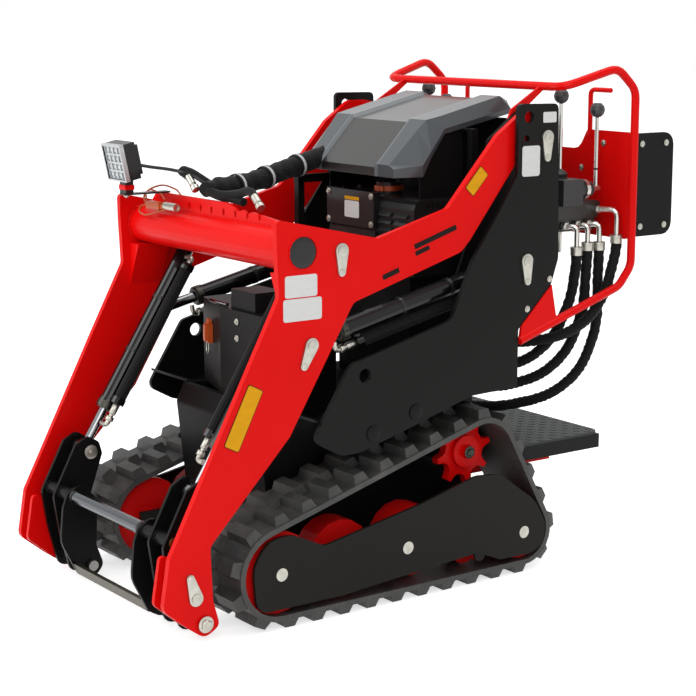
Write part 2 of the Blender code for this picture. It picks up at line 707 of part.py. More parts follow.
def make_hood():
    """The faceted plastic hood with its sunk middle panel, an open shell."""
    def make(work):
        rings = []
        brim, floor, depth = HOOD_PANEL
        for station, ridge, half_ridge, edge, half_edge, bottom in HOOD_SECTIONS:
            half = [(floor, ridge - depth), (brim, ridge), (half_ridge, ridge), (half_edge, edge),
                    (half_edge, bottom)]
            section = [(-x, z) for x, z in reversed(half)] + half
            rings.append([work.verts.new((x, station, z)) for x, z in section])
        for near, far in zip(rings, rings[1:]):
            for k in range(len(near) - 1):
                work.faces.new((near[k], near[k + 1], far[k + 1], far[k]))
        work.faces.new(rings[0])
        work.faces.new(list(reversed(rings[-1])))
    shell = new_object("hood", make)
    thick = shell.modifiers.new("Thickness", "SOLIDIFY")
    thick.thickness = HOOD_THICK
    thick.offset = -1
    thick.use_even_offset = True
    return shell


GUARD_X = SIDE_OUTER - 0.001
GUARD_BACK = 0.938
GUARD_RADIUS = 0.010
GUARD_SIDE = [  # station, height of the guard's tube on each side, from its low front end
    (0.588, 0.557), (0.900, 0.657), (GUARD_BACK, 0.703), (GUARD_BACK, 1.120), (0.878, 1.173)]
GUARD_CORNER = (GUARD_X - 0.023, 0.732, 1.131)
GUSSET_HALF = 0.004
STRUT = [  # station, height of the flat strut from each tower's top to the cross bar
    (0.624, 1.050), (0.650, 1.050), (0.693, 1.092), (0.742, 1.128), (0.722, 1.130), (0.638, 1.081)]


def make_guard():
    """The bent tube guard: one tube that runs round both sides and across the top."""
    near = [(GUARD_X, y, z) for y, z in GUARD_SIDE] + [GUARD_CORNER]
    far = [(-x, y, z) for x, y, z in reversed(near)]
    guard = pipe("guard_frame", smooth_path(near + far, 0.045), GUARD_RADIUS)
    # A flat gusset fills the corner between the tube and the side plate's slanting back edge
    low, high = (Vector(SIDE_PLATE[index][:2]) for index in (4, 3))
    slope = (high - low).normalized()
    drop = Vector((slope.y, -slope.x)) * SEAT_GAP
    corners = [low + slope * 0.012 + drop, high + drop, (0.700, 0.594), (0.5885, 0.560)]
    for side in (1, -1):
        fuse(guard, prism("gusset", corners, *span(side, GUARD_X - GUSSET_HALF, GUARD_X + GUSSET_HALF)))
        fuse(guard, prism("strut", STRUT, *span(side, TOWER_INNER - 0.006, TOWER_INNER - SEAT_GAP)))
    return guard


PANEL_HALF_THICK = 0.003
PANEL_HALF = GUARD_X - GUARD_RADIUS - SEAT_GAP
PANEL = [  # x, height, corner radius of the driver's front panel, between the guard's uprights
    (-PANEL_HALF, 0.765, 0.01), (PANEL_HALF, 0.765, 0.01), (PANEL_HALF, 1.020, 0.01), (0.200, 1.020, 0.01),
    (0.172, 0.972, 0.03), (-0.172, 0.972, 0.03), (-0.200, 1.020, 0.01), (-PANEL_HALF, 1.020, 0.01)]
HOOK_STARTS = (0.206, -0.262)
HOOK_REACH = 0.070
HOOK_HEIGHTS = (1.005, 1.116)
HOOK_RADIUS = 0.006


def make_control_panel():
    """The flat panel in front of the driver, with two bent rods standing on its shoulders."""
    panel = prism("control_panel", outline(PANEL), GUARD_BACK - PANEL_HALF_THICK,
                  GUARD_BACK + PANEL_HALF_THICK, "Y")
    for start in HOOK_STARTS:
        route = [(start, GUARD_BACK, HOOK_HEIGHTS[0]), (start, GUARD_BACK, HOOK_HEIGHTS[1]),
                 (start + HOOK_REACH, GUARD_BACK, HOOK_HEIGHTS[1])]
        fuse(panel, pipe("hook", smooth_path(route, 0.014), HOOK_RADIUS, 2))
    return panel


VALVE_BLOCKS = [  # x from, x to, station from, station to, height from, height to
    (0.170, 0.275, 0.772, 0.905, 0.815, 0.855), (0.180, 0.270, 0.776, 0.900, 0.785, 0.817),
    (0.235, 0.305, 0.765, 0.828, 0.850, 0.912),
    (0.190, 0.250, 0.900, GUARD_BACK - PANEL_HALF_THICK - SEAT_GAP, 0.822, 0.848)]
LEVERS = [  # x, station and height of the foot, height of the knob's middle
    (0.285, 0.886, 0.882, 1.072), (0.252, 0.800, 0.915, 1.106)]
LEVER_RADIUS = 0.005
KNOB_RADIUS = 0.0185
BELLOWS = [(0.0, 0.020), (0.018, 0.020), (0.020, 0.024), (0.030, 0.024), (0.034, 0.018), (0.046, 0.018),
           (0.054, 0.010)]
BOOT = [(0.0, 0.021), (0.008, 0.021), (0.010, 0.017), (0.018, 0.019), (0.028, 0.008)]
ELBOW_RADIUS = 0.0065
REAR_HOSES = [  # sides, port's station and height, then the hose's places (x, station, height) from the elbow
    ((1, -1), (0.795, 0.800), [(0.303, 0.812, 0.748), (0.301, 0.812, 0.700), (0.284, 0.800, 0.600),
                               (0.250, 0.755, 0.505),
                               (0.195, 0.690, 0.460), (0.152, 0.645, 0.455)]),
    ((1, -1), (0.832, 0.801), [(0.303, 0.847, 0.757), (0.301, 0.847, 0.700), (0.288, 0.840, 0.570),
                               (0.248, 0.795, 0.460),
                               (0.175, 0.715, 0.408), (0.102, 0.652, 0.400)]),
    ((1,), (0.868, 0.801), [(0.303, 0.885, 0.755), (0.301, 0.886, 0.690), (0.292, 0.880, 0.520),
                            (0.250, 0.835, 0.410),
                            (0.155, 0.740, 0.352), (0.053, 0.660, 0.345)]),
    ((1,), (0.893, 0.835), [(0.328, 0.918, 0.772), (0.329, 0.906, 0.705), (0.328, 0.868, 0.618),
                            (0.318, 0.800, 0.560),
                            (0.265, 0.725, 0.530), (0.165, 0.665, 0.521), (0.097, 0.642, 0.520)])]
HOSE_STEP = 0.056
HOSE_LEAD = 0.022  # straight length at each end of a rear hose


def make_valve(side):
    """A control valve hung on the panel: blocks, bellows, levers with round knobs, hose elbows."""
    name = "valve_" + left_right(side)
    valve = None
    for x_from, x_to, y_from, y_to, z_from, z_to in VALVE_BLOCKS:
        x_low, x_high = span(side, x_from, x_to)
        block = box(name, (x_low, y_from, z_from), (x_high, y_to, z_to))
        valve = fuse(valve, block) if valve else block
    spool, lift = LEVERS
    x, station, height, _ = spool
    fuse(valve, turned("bellows", (side * x, 0.820, height + 0.004), (side * x, 1.0, height + 0.004),
                       BELLOWS, 14))
    fuse(valve, rod("clevis", (side * x, 0.868, height + 0.004),
                    (side * x, station + 0.009, height + 0.004), 0.0075, 8))
    x, station, height, _ = lift
    fuse(valve, turned("boot", (side * x, station, 0.905), (side * x, station, 1.0), BOOT, 14))
    fuse(valve, rod("relief", (side * 0.240, 0.800, 0.790), (side * 0.240, 0.800, 0.735), 0.017, 12))
    for x, station, height, knob in LEVERS:
        fuse(valve, rod("lever", (side * x, station, height), (side * x, station, knob), LEVER_RADIUS, 8))
        rows = [(KNOB_RADIUS * (1 - math.cos(math.pi * k / 6)),
                 KNOB_RADIUS * math.sin(math.pi * k / 6)) for k in range(1, 6)]
        base = knob - KNOB_RADIUS
        fuse(valve, turned("knob", (side * x, station, base), (side * x, station, base + 1), rows, 12))
    for sides, (station, height), places in REAR_HOSES:
        if side in sides:
            face = 0.270 if height < 0.815 else 0.275
            fuse(valve, cross_rod("nut", (station, height), *span(side, face - 0.004, face + 0.016), 0.010,
                                  6))
            x, y, z = places[0]
            route = [(side * (face + 0.010), station, height), (side * x, y, height + 0.002),
                     (side * x, y, z)]
            fuse(valve, pipe("elbow", smooth_path(route, 0.018, 3), ELBOW_RADIUS, 2))
    return valve


def make_rear_hoses(side):
    """The sleeved hoses from the valve's elbows down to the ports in the bulkhead."""
    made = []
    for (sides, _, places), (x, height) in zip(REAR_HOSES, HOSE_PORTS):
        if side in sides:
            first = Vector(places[0]) - Vector((0, 0, SEAT_GAP))
            last = Vector((x, TUB_SIDE[2][0] + PORT_LENGTH + SEAT_GAP, height))
            lead, tail = first - Vector((0, 0, HOSE_LEAD)), last + Vector((0, HOSE_LEAD, 0))
            route = [first] + flowing_path([lead] + places[1:-1] + [tail], HOSE_STEP) + [last]
            name = "rear_hose_%d_%s" % (len(made) + 1, left_right(side))
            made.append(pipe(name, [(side * p[0], p[1], p[2]) for p in route], HOSE_RADIUS, 2))
    return made


WING = [  # station, height, corner radius of the panel behind each upright
    (GUARD_BACK + GUARD_RADIUS + SEAT_GAP, 0.772, 0.004), (1.066, 0.772, 0.03), (1.066, 1.018, 0.03),
    (GUARD_BACK + GUARD_RADIUS + SEAT_GAP, 1.018, 0.004)]


def make_wing(side):
    return prism("wing_panel_" + left_right(side), outline(WING),
                 *span(side, GUARD_X - GUSSET_HALF, GUARD_X + GUSSET_HALF))


ARM_PLATE = [  # station, height, corner radius
    (-0.068, 0.880, 0.01), (0.196, 0.822, 0.0), (0.388, 0.873, 0.02), (0.530, 1.030, 0.02),
    (0.600, 1.078, 0.03),
    (0.690, 1.078, 0.05), (0.716, 1.000, 0.05), (0.660, 0.962, 0.05), (0.585, 0.965, 0.02),
    (0.452, 0.799, 0.0),
    (0.426, 0.774, 0.02), (0.130, 0.688, 0.02), (-0.037, 0.415, 0.0), (-0.238, 0.208, 0.02),
    (-0.233, 0.092, 0.0),
    (-0.217, 0.034, 0.015), (-0.254, 0.012, 0.025), (-0.290, 0.038, 0.02), (-0.353, 0.090, 0.02),
    (-0.335, 0.198, 0.02), (-0.148, 0.554, 0.0), (-0.062, 0.714, 0.02), (-0.067, 0.819, 0.01)]


CLEVIS = [  # station, height, corner radius of the inner plate at the arm's lower end
    (-0.352, 0.092, 0.015), (-0.290, 0.038, 0.02), (-0.254, 0.014, 0.022), (-0.220, 0.036, 0.015),
    (-0.238, 0.100, 0.0),
    (-0.268, 0.165, 0.01), (-0.334, 0.198, 0.01)]
CLEVIS_X = (ARM_OUTER - 0.051, ARM_OUTER - 0.041)
ARM_END_PIN = (-0.279, 0.108)
ARM_GUSSET = (0.655, 0.761, 0.045)  # lowest and highest place, and reach, of the wedge under the cross tube
ARM_GUSSET_SPAN = (-0.045, 0.040)
PLUG_RADIUS = 0.034


def make_arm_plate(side):
    """One arm of the loader, with the pins of the lift cylinder, tilt cylinder and coupler."""
    name = "lift_arm_" + left_right(side)
    plate = prism(name, outline(ARM_PLATE), *span(side, ARM_INNER, ARM_OUTER))
    fuse(plate, prism(name + "_clevis", outline(CLEVIS), *span(side, *CLEVIS_X)))
    # Pins: place, where they start, radius
    pins = [(LIFT_EYE, LIFT_X + EYE_WIDTH / 2 + OPEN_PIVOT_GAP, PIN_RADIUS),
            (TILT_BASE, TILT_X - 0.036, PIN_RADIUS),
            (ARM_END_PIN, CLEVIS_X[0] + 0.002, PIN_RADIUS),
            (COUPLER_PIVOT, SICKLE_X[0] - 0.011, PIN_RADIUS)]
    for at, start, radius in pins:
        fuse(plate, cross_rod(name + "_pin", at, *span(side, start, ARM_OUTER + 0.004), radius, PIN_SIDES))
    low, high, reach = ARM_GUSSET
    wedge = [(side * (ARM_INNER + 0.002), low), (side * (ARM_INNER + 0.002), high),
             (side * (ARM_INNER - reach), high)]
    fuse(plate, prism(name + "_gusset", wedge, *ARM_GUSSET_SPAN, "Y"))
    through = span(side, ARM_INNER - CUT_MARGIN, ARM_OUTER + CUT_MARGIN)
    cut(plate, cross_rod(name + "_plug_hole", CROSS_TUBE_AT, *through, PLUG_RADIUS))
    return cut(plate, cross_rod(name + "_bore", ARM_PIVOT, *through, PIVOT_RADIUS + BORE_GAP))


TUBE_RADIUS = 0.0445
HOSE_PLATE = [  # x, height of the standing plate on the cross tube, which the hoses pass
    (-0.300, 0.830), (0.318, 0.830), (0.318, 0.858), (0.150, 0.874), (0.132, 0.868), (0.114, 0.876),
    (0.096, 0.870),
    (0.078, 0.879), (0.045, 0.886), (-0.264, 0.886), (-0.300, 0.850)]
HOSE_PLATE_THICK = 0.006
HOSE_HOLES = (-0.114, -0.065, -0.018, 0.033, 0.082, 0.131, 0.180)
HOSE_HOLE_HEIGHT = 0.864
EAR = [  # station, height, corner radius of the ear that holds the tilt cylinder's base pin
    (-0.030, 0.775, 0.0), (0.080, 0.767, 0.0), (0.118, 0.780, 0.015), (0.118, 0.808, 0.015),
    (0.080, 0.820, 0.0),
    (-0.030, 0.840, 0.0)]
EAR_X = (TILT_X - 0.031, TILT_X - 0.025)


def make_cross_tube():
    """The round tube between the arms, with the hose plate on top and the tilt cylinders' ears."""
    inner = ARM_INNER - SEAT_GAP
    tube = cross_rod("cross_tube", CROSS_TUBE_AT, -inner, inner, TUBE_RADIUS, 28)
    station = CROSS_TUBE_AT[0]
    plate = prism("hose_plate", HOSE_PLATE, station - HOSE_PLATE_THICK / 2, station + HOSE_PLATE_THICK / 2,
                  "Y")
    for x in HOSE_HOLES:
        hole = [(x + 0.005 * math.cos(math.pi * k / 4),
                 HOSE_HOLE_HEIGHT + 0.009 * math.sin(math.pi * k / 4)) for k in range(8)]
        cut(plate, prism("hole", hole, station - CUT_MARGIN, station + CUT_MARGIN, "Y"))
    fuse(tube, plate)
    for side in (1, -1):
        ear = prism("ear", outline(EAR), *span(side, *EAR_X))
        cut(ear, cross_rod("ear_hole", TILT_BASE, *span(side, TILT_X - 0.040, TILT_X),
                           PIN_RADIUS + BORE_GAP, PIN_SIDES))
        fuse(tube, ear)
    return tube


LAMP_X = (-0.271, -0.185)
LAMP_FOOT = (-0.119, 0.921)  # station and height of the face's lower edge
LAMP_SIZE = (0.032, 0.085)  # depth, height
LAMP_TILT = math.radians(12)
LAMP_FINS = 6
LAMP_FIN_REACH = 0.009
STRAP_HALF = 0.012


def make_work_lamp():
    """The square lamp, which leans forward over the strap that rests on the hose plate's top edge."""
    def block(name, x_low, x_high, near, far, low, high):
        lean = [(math.cos(LAMP_TILT) * d - math.sin(LAMP_TILT) * h,
                 math.sin(LAMP_TILT) * d + math.cos(LAMP_TILT) * h)
                for d, h in ((near, low), (far, low), (far, high), (near, high))]
        return prism(name, [(LAMP_FOOT[0] + y, LAMP_FOOT[1] + z) for y, z in lean], x_low, x_high)

    depth, height = LAMP_SIZE
    lamp = block("work_lamp", *LAMP_X, 0.0, depth, 0.0, height)
    middle = sum(LAMP_X) / 2
    pitch = (LAMP_X[1] - LAMP_X[0]) / LAMP_FINS
    for fin in range(LAMP_FINS):
        start = LAMP_X[0] + (fin + 0.3) * pitch
        fuse(lamp, block("fin", start, start + 0.4 * pitch, depth - 0.001, depth + LAMP_FIN_REACH,
                         0.008, height - 0.008))
    strap = HOSE_PLATE[8][1] + SEAT_GAP
    fuse(lamp, box("strap", (middle - STRAP_HALF, LAMP_FOOT[0] + 0.004, strap),
                   (middle + STRAP_HALF, 0.006, strap + 0.004)))
    return fuse(lamp, box("stem", (middle - 0.014, LAMP_FOOT[0] + 0.006, strap + 0.001),
                          (middle + 0.014, LAMP_FOOT[0] + 0.026, LAMP_FOOT[1] + 0.012)))


MAIN_HOSE_RADIUS = 0.025
MAIN_HOSE = [  # x, station, height of the bundle from the hood's front down to the hose plate
    (-0.125, 0.335, 0.9495), (-0.108, 0.260, 0.936), (-0.085, 0.178, 0.9205), (-0.055, 0.080, 0.9105),
    (-0.032, 0.000, 0.9103), (-0.022, -0.036, 0.9103)]


def make_main_hose():
    return pipe("main_hose", flowing_path(MAIN_HOSE, MAIN_HOSE_RADIUS * 2), MAIN_HOSE_RADIUS, 3)


def direction(start, end):
    gap = Vector(end) - Vector(start)
    return gap.normalized(), gap.length


def hose_offset(side, way, kind):
    """Where a cylinder's hose lies beside its barrel: under the lift barrel, inboard of the tilt barrel."""
    if kind == "lift":
        return Vector((0, -way.y, way.x)) * 0.040
    return Vector((-side * 0.045, 0, 0))


def make_barrel(name, side, x, base, eye, length, radius, bore, kind):
    """A cylinder barrel with its base eye and hose clamps, bored for the rod from the front end."""
    way, _ = direction(base, eye)
    start = Vector((side * x, *base))
    heading = Vector((0, way.x, way.y))
    barrel = turned(name, start, start + heading, [(0.018, radius), (length - 0.02, radius),
                                                   (length - 0.02, radius + 0.002),
                                                   (length, radius + 0.002)], 18)
    fuse(barrel, cross_rod(name + "_eye", base, *span(side, x - EYE_WIDTH / 2, x + EYE_WIDTH / 2),
                           EYE_RADIUS, 18))
    cut(barrel, cross_rod(name + "_eye_hole", base, *span(side, x - 0.05, x + 0.05), PIN_RADIUS + BORE_GAP,
                          PIN_SIDES))
    offset = hose_offset(side, way, kind)
    for distance in HOSE_CLAMPS:
        at = start + heading * distance
        fuse(barrel, rod("clamp_link", at + offset.normalized() * (radius - 0.004), at + offset * 0.9,
                         0.008, 7))
        fuse(barrel, rod("clamp", at + offset - heading * 0.008, at + offset + heading * 0.008,
                         HOSE_RADIUS + 0.002, 12))
    cut(barrel, rod(name + "_bore", start + heading * 0.045, start + heading * (length + CUT_MARGIN), bore,
                    18))
    return barrel


def make_cylinder_hose(name, side, x, base, eye, kind):
    """The sleeved hose between the two clamps on a barrel."""
    way, _ = direction(base, eye)
    heading = Vector((0, way.x, way.y))
    line = Vector((side * x, *base)) + hose_offset(side, way, kind)
    first, last = HOSE_CLAMPS
    return rod(name, line + heading * (first + 0.008 + SEAT_GAP), line + heading * (last - 0.008 - SEAT_GAP),
               HOSE_RADIUS, 12)


def make_rod(name, side, x, base, eye, radius):
    """A cylinder rod with its eye, reaching back inside the barrel."""
    way, length = direction(base, eye)
    heading = Vector((0, way.x, way.y))
    end = Vector((side * x, *eye))
    start = Vector((side * x, *base)) + heading * ROD_START
    piston = rod(name, start, end - heading * 0.012, radius, 16)
    fuse(piston, cross_rod(name + "_eye", eye, *span(side, x - EYE_WIDTH / 2, x + EYE_WIDTH / 2),
                           EYE_RADIUS, 16))
    return cut(piston, cross_rod(name + "_eye_hole", eye, *span(side, x - 0.05, x + 0.05),
                                 PIN_RADIUS + BORE_GAP, PIN_SIDES))


COUPLER_TUBE_AT = (-0.2925, 0.2127)
COUPLER_BAR = [  # station, height of the flat angle bar, clear of the pivot pins
    (-0.2935, 0.058), (-0.2845, 0.036), (-0.266, 0.0315), (-0.267, 0.0245), (-0.289, 0.0285),
    (-0.3015, 0.0555)]
SICKLE = [
    (-0.310, 0.222, 0.02), (-0.275, 0.240, 0.02), (-0.235, 0.200, 0.03), (-0.240, 0.090, 0.0),
    (-0.222, 0.040, 0.02),
    (-0.250, 0.008, 0.025), (-0.290, 0.030, 0.03), (-0.330, 0.110, 0.05), (-0.322, 0.190, 0.03)]
LUG_PLATE = [
    (-0.198, 0.318, 0.01), (-0.225, 0.335, 0.015), (-0.258, 0.318, 0.01), (-0.318, 0.205, 0.02),
    (-0.305, 0.120, 0.0),
    (-0.280, 0.020, 0.02), (-0.240, 0.014, 0.025), (-0.222, 0.040, 0.02), (-0.236, 0.160, 0.0),
    (-0.190, 0.290, 0.01)]


OUTER_LUG_X = (TILT_X + 0.026, TILT_X + 0.034)
INNER_LUG_X = (TILT_X - 0.034, TILT_X - 0.026)


def make_coupler():
    """The quick attachment frame: lug plates at each side, hooked side plates, tube and bar."""
    coupler = cross_rod("coupler", COUPLER_TUBE_AT, -OUTER_LUG_X[1], OUTER_LUG_X[1], 0.015, 14)
    fuse(coupler, prism("coupler_bar", COUPLER_BAR, -SICKLE_X[0] - 0.004, SICKLE_X[0] + 0.004))
    eye_end = TILT_X + EYE_WIDTH / 2 + OPEN_PIVOT_GAP
    eye_start = TILT_X - EYE_WIDTH / 2 - OPEN_PIVOT_GAP
    for side in (1, -1):
        for low, high in (OUTER_LUG_X, INNER_LUG_X):
            fuse(coupler, prism("lug", outline(LUG_PLATE), *span(side, low, high)))
        fuse(coupler, prism("sickle", outline(SICKLE), *span(side, *SICKLE_X)))
        # The tilt rod's eye drifts, so its pin is a stub on each lug plate
        for low, high in ((eye_end, OUTER_LUG_X[1] + 0.004), (INNER_LUG_X[0] - 0.004, eye_start)):
            fuse(coupler, cross_rod("tilt_pin", TILT_EYE, *span(side, low, high), PIN_RADIUS, PIN_SIDES))
        cut(coupler, cross_rod("pivot_bore", COUPLER_PIVOT,
                               *span(side, SICKLE_X[0] - CUT_MARGIN, OUTER_LUG_X[1] + CUT_MARGIN),
                               PIN_RADIUS + BORE_GAP, PIN_SIDES))
    return coupler


DECK_HALF = SIDE_OUTER - 0.059
DECK_TOP = 0.290
DECK_THICK = 0.006
DECK_FRONT = 0.632
DECK_BACK = 0.910
BASE_WALL = 0.004
BASE_DROP = 0.034
BRACKET = (0.170, 0.200, 0.260)  # half width, height of its underside, length back from the tub


def make_platform_deck():
    corners = outline([(-DECK_HALF, DECK_FRONT, 0.0), (DECK_HALF, DECK_FRONT, 0.0),
                       (DECK_HALF, DECK_BACK, 0.03),
                       (-DECK_HALF, DECK_BACK, 0.03)])
    return prism("platform_deck", corners, DECK_TOP - DECK_THICK, DECK_TOP, "Z")


def make_platform_base():
    """The flanged tray under the deck and the box that bolts it to the tub's back."""
    top = DECK_TOP - DECK_THICK - SEAT_GAP
    front, back = DECK_FRONT + 0.023, DECK_BACK - 0.005
    base = box("platform_base", (-DECK_HALF, front, top - BASE_DROP), (DECK_HALF, back, top))
    cut(base, box("under", (-DECK_HALF + BASE_WALL, front + BASE_WALL, top - BASE_DROP - CUT_MARGIN),
                  (DECK_HALF - BASE_WALL, back - BASE_WALL, top - BASE_WALL)))
    half, low, length = BRACKET
    tub_back = TUB_SIDE[2][0] + SEAT_GAP
    return fuse(base, box("bracket", (-half, tub_back, low), (half, tub_back + length, top - BASE_WALL / 2)))


def build():
    clear_scene()
    machine = axis_empty("machine", None, (0.0, 0.0))
    machine.location = (0, -MIDDLE, 0)
    arm = axis_empty("lift_arm_axis", machine, ARM_PIVOT)
    tool = axis_empty("coupler_axis", arm, COUPLER_PIVOT)
    red = material("red_paint", RED, 0.35)
    black = material("black_paint", BLACK, 0.45)
    rubber = material("rubber", RUBBER, 0.8)
    sleeve = material("hose_sleeve", SLEEVE, 0.85)
    chrome = material("chrome", CHROME, 0.12, 1.0)
    plastic = material("grey_plastic", GREY_PLASTIC, 0.4)
    deck_paint = material("deck_paint", DECK_GREY, 0.6)
    for made, surface in ((make_belly_tub(), black), (make_nose(), black), (make_rear_plate(), black),
                          (make_hood_frame(), black), (make_engine(), black), (make_engine_shroud(), black),
                          (make_hood(), plastic), (make_guard(), red), (make_control_panel(), red),
                          (make_platform_deck(), deck_paint), (make_platform_base(), deck_paint)):
        finish(made, machine, surface)
    for made, surface in ((make_cross_tube(), red), (make_work_lamp(), black), (make_main_hose(), sleeve)):
        finish(made, arm, surface)
    finish(make_coupler(), tool, black)
    for side in (1, -1):
        end = left_right(side)
        for made, surface in ((make_side_plate(side), black), (make_tower(side), black),
                              (make_fender(side), black),
                              (make_wing(side), black), (make_valve(side), black), (make_track(side), rubber),
                              (make_track_frame(side), black), (make_sprocket(side), red)):
            finish(made, machine, surface)
        for made in make_rear_hoses(side):
            finish(made, machine, sleeve)
        finish(make_arm_plate(side), arm, red)
        # Cylinders: kind, carrier, place, barrel length, barrel and rod radius
        for kind, carrier, x, base, eye, length, radius, rod_radius in (
                ("lift", machine, LIFT_X, LIFT_BASE, LIFT_EYE, LIFT_BARREL_LENGTH, LIFT_BARREL_RADIUS,
                 LIFT_ROD_RADIUS),
                ("tilt", arm, TILT_X, TILT_BASE, TILT_EYE, TILT_BARREL_LENGTH, TILT_BARREL_RADIUS,
                 TILT_ROD_RADIUS)):
            axis = axis_empty(kind + "_barrel_axis_" + end, carrier, base, side * x)
            finish(make_barrel(kind + "_barrel_" + end, side, x, base, eye, length, radius,
                               rod_radius + BORE_GAP, kind),
                   axis, black)
            finish(make_rod(kind + "_rod_" + end, side, x, base, eye, rod_radius), axis, chrome)
            finish(make_cylinder_hose(kind + "_hose_" + end, side, x, base, eye, kind), axis, sleeve)


build()
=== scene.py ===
# %% [markdown]
# # A small tracked loader, dressed for its photograph
# The machine is a narrow loader with rubber tracks, two bent arms and a plate at the back that the
# driver stands on. Its solids come from the frame at their real sizes, and this lesson adds what a
# close look finds: paint, rubber and zinc, bolts, pin retainers, hose sleeves, a lamp and bare plates.

# %% Load the frame
import bpy
import bmesh
import math
from mathutils import Matrix, Vector


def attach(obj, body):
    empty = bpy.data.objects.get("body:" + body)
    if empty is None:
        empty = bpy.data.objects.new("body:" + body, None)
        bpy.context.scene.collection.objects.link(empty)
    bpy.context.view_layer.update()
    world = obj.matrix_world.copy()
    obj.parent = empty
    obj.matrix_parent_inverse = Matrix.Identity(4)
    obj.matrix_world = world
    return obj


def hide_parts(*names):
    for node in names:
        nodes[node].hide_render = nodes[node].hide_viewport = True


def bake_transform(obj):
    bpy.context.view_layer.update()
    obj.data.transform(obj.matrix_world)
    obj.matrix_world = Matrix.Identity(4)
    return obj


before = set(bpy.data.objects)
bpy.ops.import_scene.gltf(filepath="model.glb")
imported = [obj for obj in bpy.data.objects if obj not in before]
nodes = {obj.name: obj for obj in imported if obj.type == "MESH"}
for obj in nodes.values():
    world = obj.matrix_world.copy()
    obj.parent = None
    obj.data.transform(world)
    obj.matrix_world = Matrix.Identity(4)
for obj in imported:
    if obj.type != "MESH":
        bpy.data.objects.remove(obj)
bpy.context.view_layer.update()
MIDDLE = 0.3575  # the CAD counts stations from the front lug, this far in front of the origin
SIDES = ((1, "left"), (-1, "right"))

# %% [markdown]
# ## Camera
# The camera stands where the photographer stood: its place and lens were fitted to the tracks, arms
# and side plates, so that each pixel of the render meets the same spot of the machine. It is made
# first, because every other choice is judged through it.

# %% Camera at the photograph's viewpoint
bpy.ops.object.camera_add(location=(3.4172, -2.4617, 1.3081),
                          rotation=(math.radians(79.2866), 0, math.radians(54.1922)))
camera = bpy.context.object
camera.data.lens = 92.77
camera.data.sensor_width = 36
bpy.context.scene.camera = camera
print("camera:", tuple(round(value, 3) for value in camera.location))

# %% [markdown]
# ## Finishes
# A finish is a small tree of nodes. One helper adds a node, sets its inputs and links what feeds it,
# so that a tree reads like a recipe from top to bottom. Colours are written as the hex values that a
# painter would name, and turned into the linear values that the renderer works with.

# %% Helpers that add nodes
def hex_colour(text):
    parts = [int(text[k:k + 2], 16) / 255 for k in (0, 2, 4)]
    return tuple(c / 12.92 if c <= 0.04045 else ((c + 0.055) / 1.055) ** 2.4 for c in parts) + (1.0,)


def feed(tree, node, **inputs):
    """Fill a node's inputs, each with a value, a colour as hex text, an output, or a node's output in use."""
    for name, value in inputs.items():
        numbered = name[0] == "i" and name[1:].isdigit()
        socket = node.inputs[int(name[1:]) if numbered else name.replace("_", " ")]
        if isinstance(value, str):
            value = hex_colour(value)
        if isinstance(value, bpy.types.Node):
            value = next(output for output in value.outputs if output.enabled)
        if isinstance(value, bpy.types.NodeSocket):
            tree.links.new(value, socket)
        else:
            socket.default_value = value


def add_node(tree, kind, settings=None, **inputs):
    """Add a node: settings are its own properties, and its inputs are filled by feed."""
    node = tree.nodes.new(kind)
    for name, value in (settings or {}).items():
        setattr(node, name, value)
    feed(tree, node, **inputs)
    return node


COLOURS = {"data_type": "RGBA"}  # a Mix node so set runs from the colour at i6 to the one at i7


def new_finish(name):
    """A material with its Principled shader, and the Object coordinates in metres."""
    finish = bpy.data.materials.new(name)
    finish.use_nodes = True
    tree = finish.node_tree
    place = add_node(tree, "ShaderNodeTexCoord").outputs["Object"]
    return finish, tree, tree.nodes["Principled BSDF"], place


print("sRGB 808080 is", round(hex_colour("808080")[0], 3), "linear")

# %% Helpers that mark zones and paint the solids
def combined(tree, operation, *shares):
    """Join shares of zero to one: MULTIPLY is one where all are, and MAXIMUM where any is."""
    whole = shares[0]
    for share in shares[1:]:
        whole = add_node(tree, "ShaderNodeMath", {"operation": operation}, i0=whole, i1=share)
    return whole


def zone(tree, place, across=(-9, 9), along=(-9, 9), up=(-9, 9)):
    """One inside a box of the machine, else zero: across is counted from the middle, either side."""
    parts = add_node(tree, "ShaderNodeSeparateXYZ", i0=place)
    side = add_node(tree, "ShaderNodeMath", {"operation": "ABSOLUTE"}, i0=parts)
    inside = []
    for value, (low, high) in ((side, across), (parts.outputs[1], along), (parts.outputs[2], up)):
        above = add_node(tree, "ShaderNodeMath", {"operation": "GREATER_THAN"}, i0=value, i1=low)
        below = add_node(tree, "ShaderNodeMath", {"operation": "LESS_THAN"}, i0=value, i1=high)
        inside += [above, below]
    return combined(tree, "MULTIPLY", *inside)


def paint_nodes(node_names, finish):
    for name in node_names:
        mesh = nodes[name].data
        mesh.materials.clear()
        mesh.materials.append(finish)


def both(*names):
    return [name + end for name in names for end in ("_left", "_right")]


print("helpers ready")

# %% [markdown]
# ### Stove-enamelled red
# The arms and guard are sprayed and baked. Such enamel is smooth and glossy, with a faint orange peel
# that breaks up reflections, and a little dust dulls it low down. Pins that are welded or pressed
# through the arms stay bare steel, so the tree picks them out by where they lie.

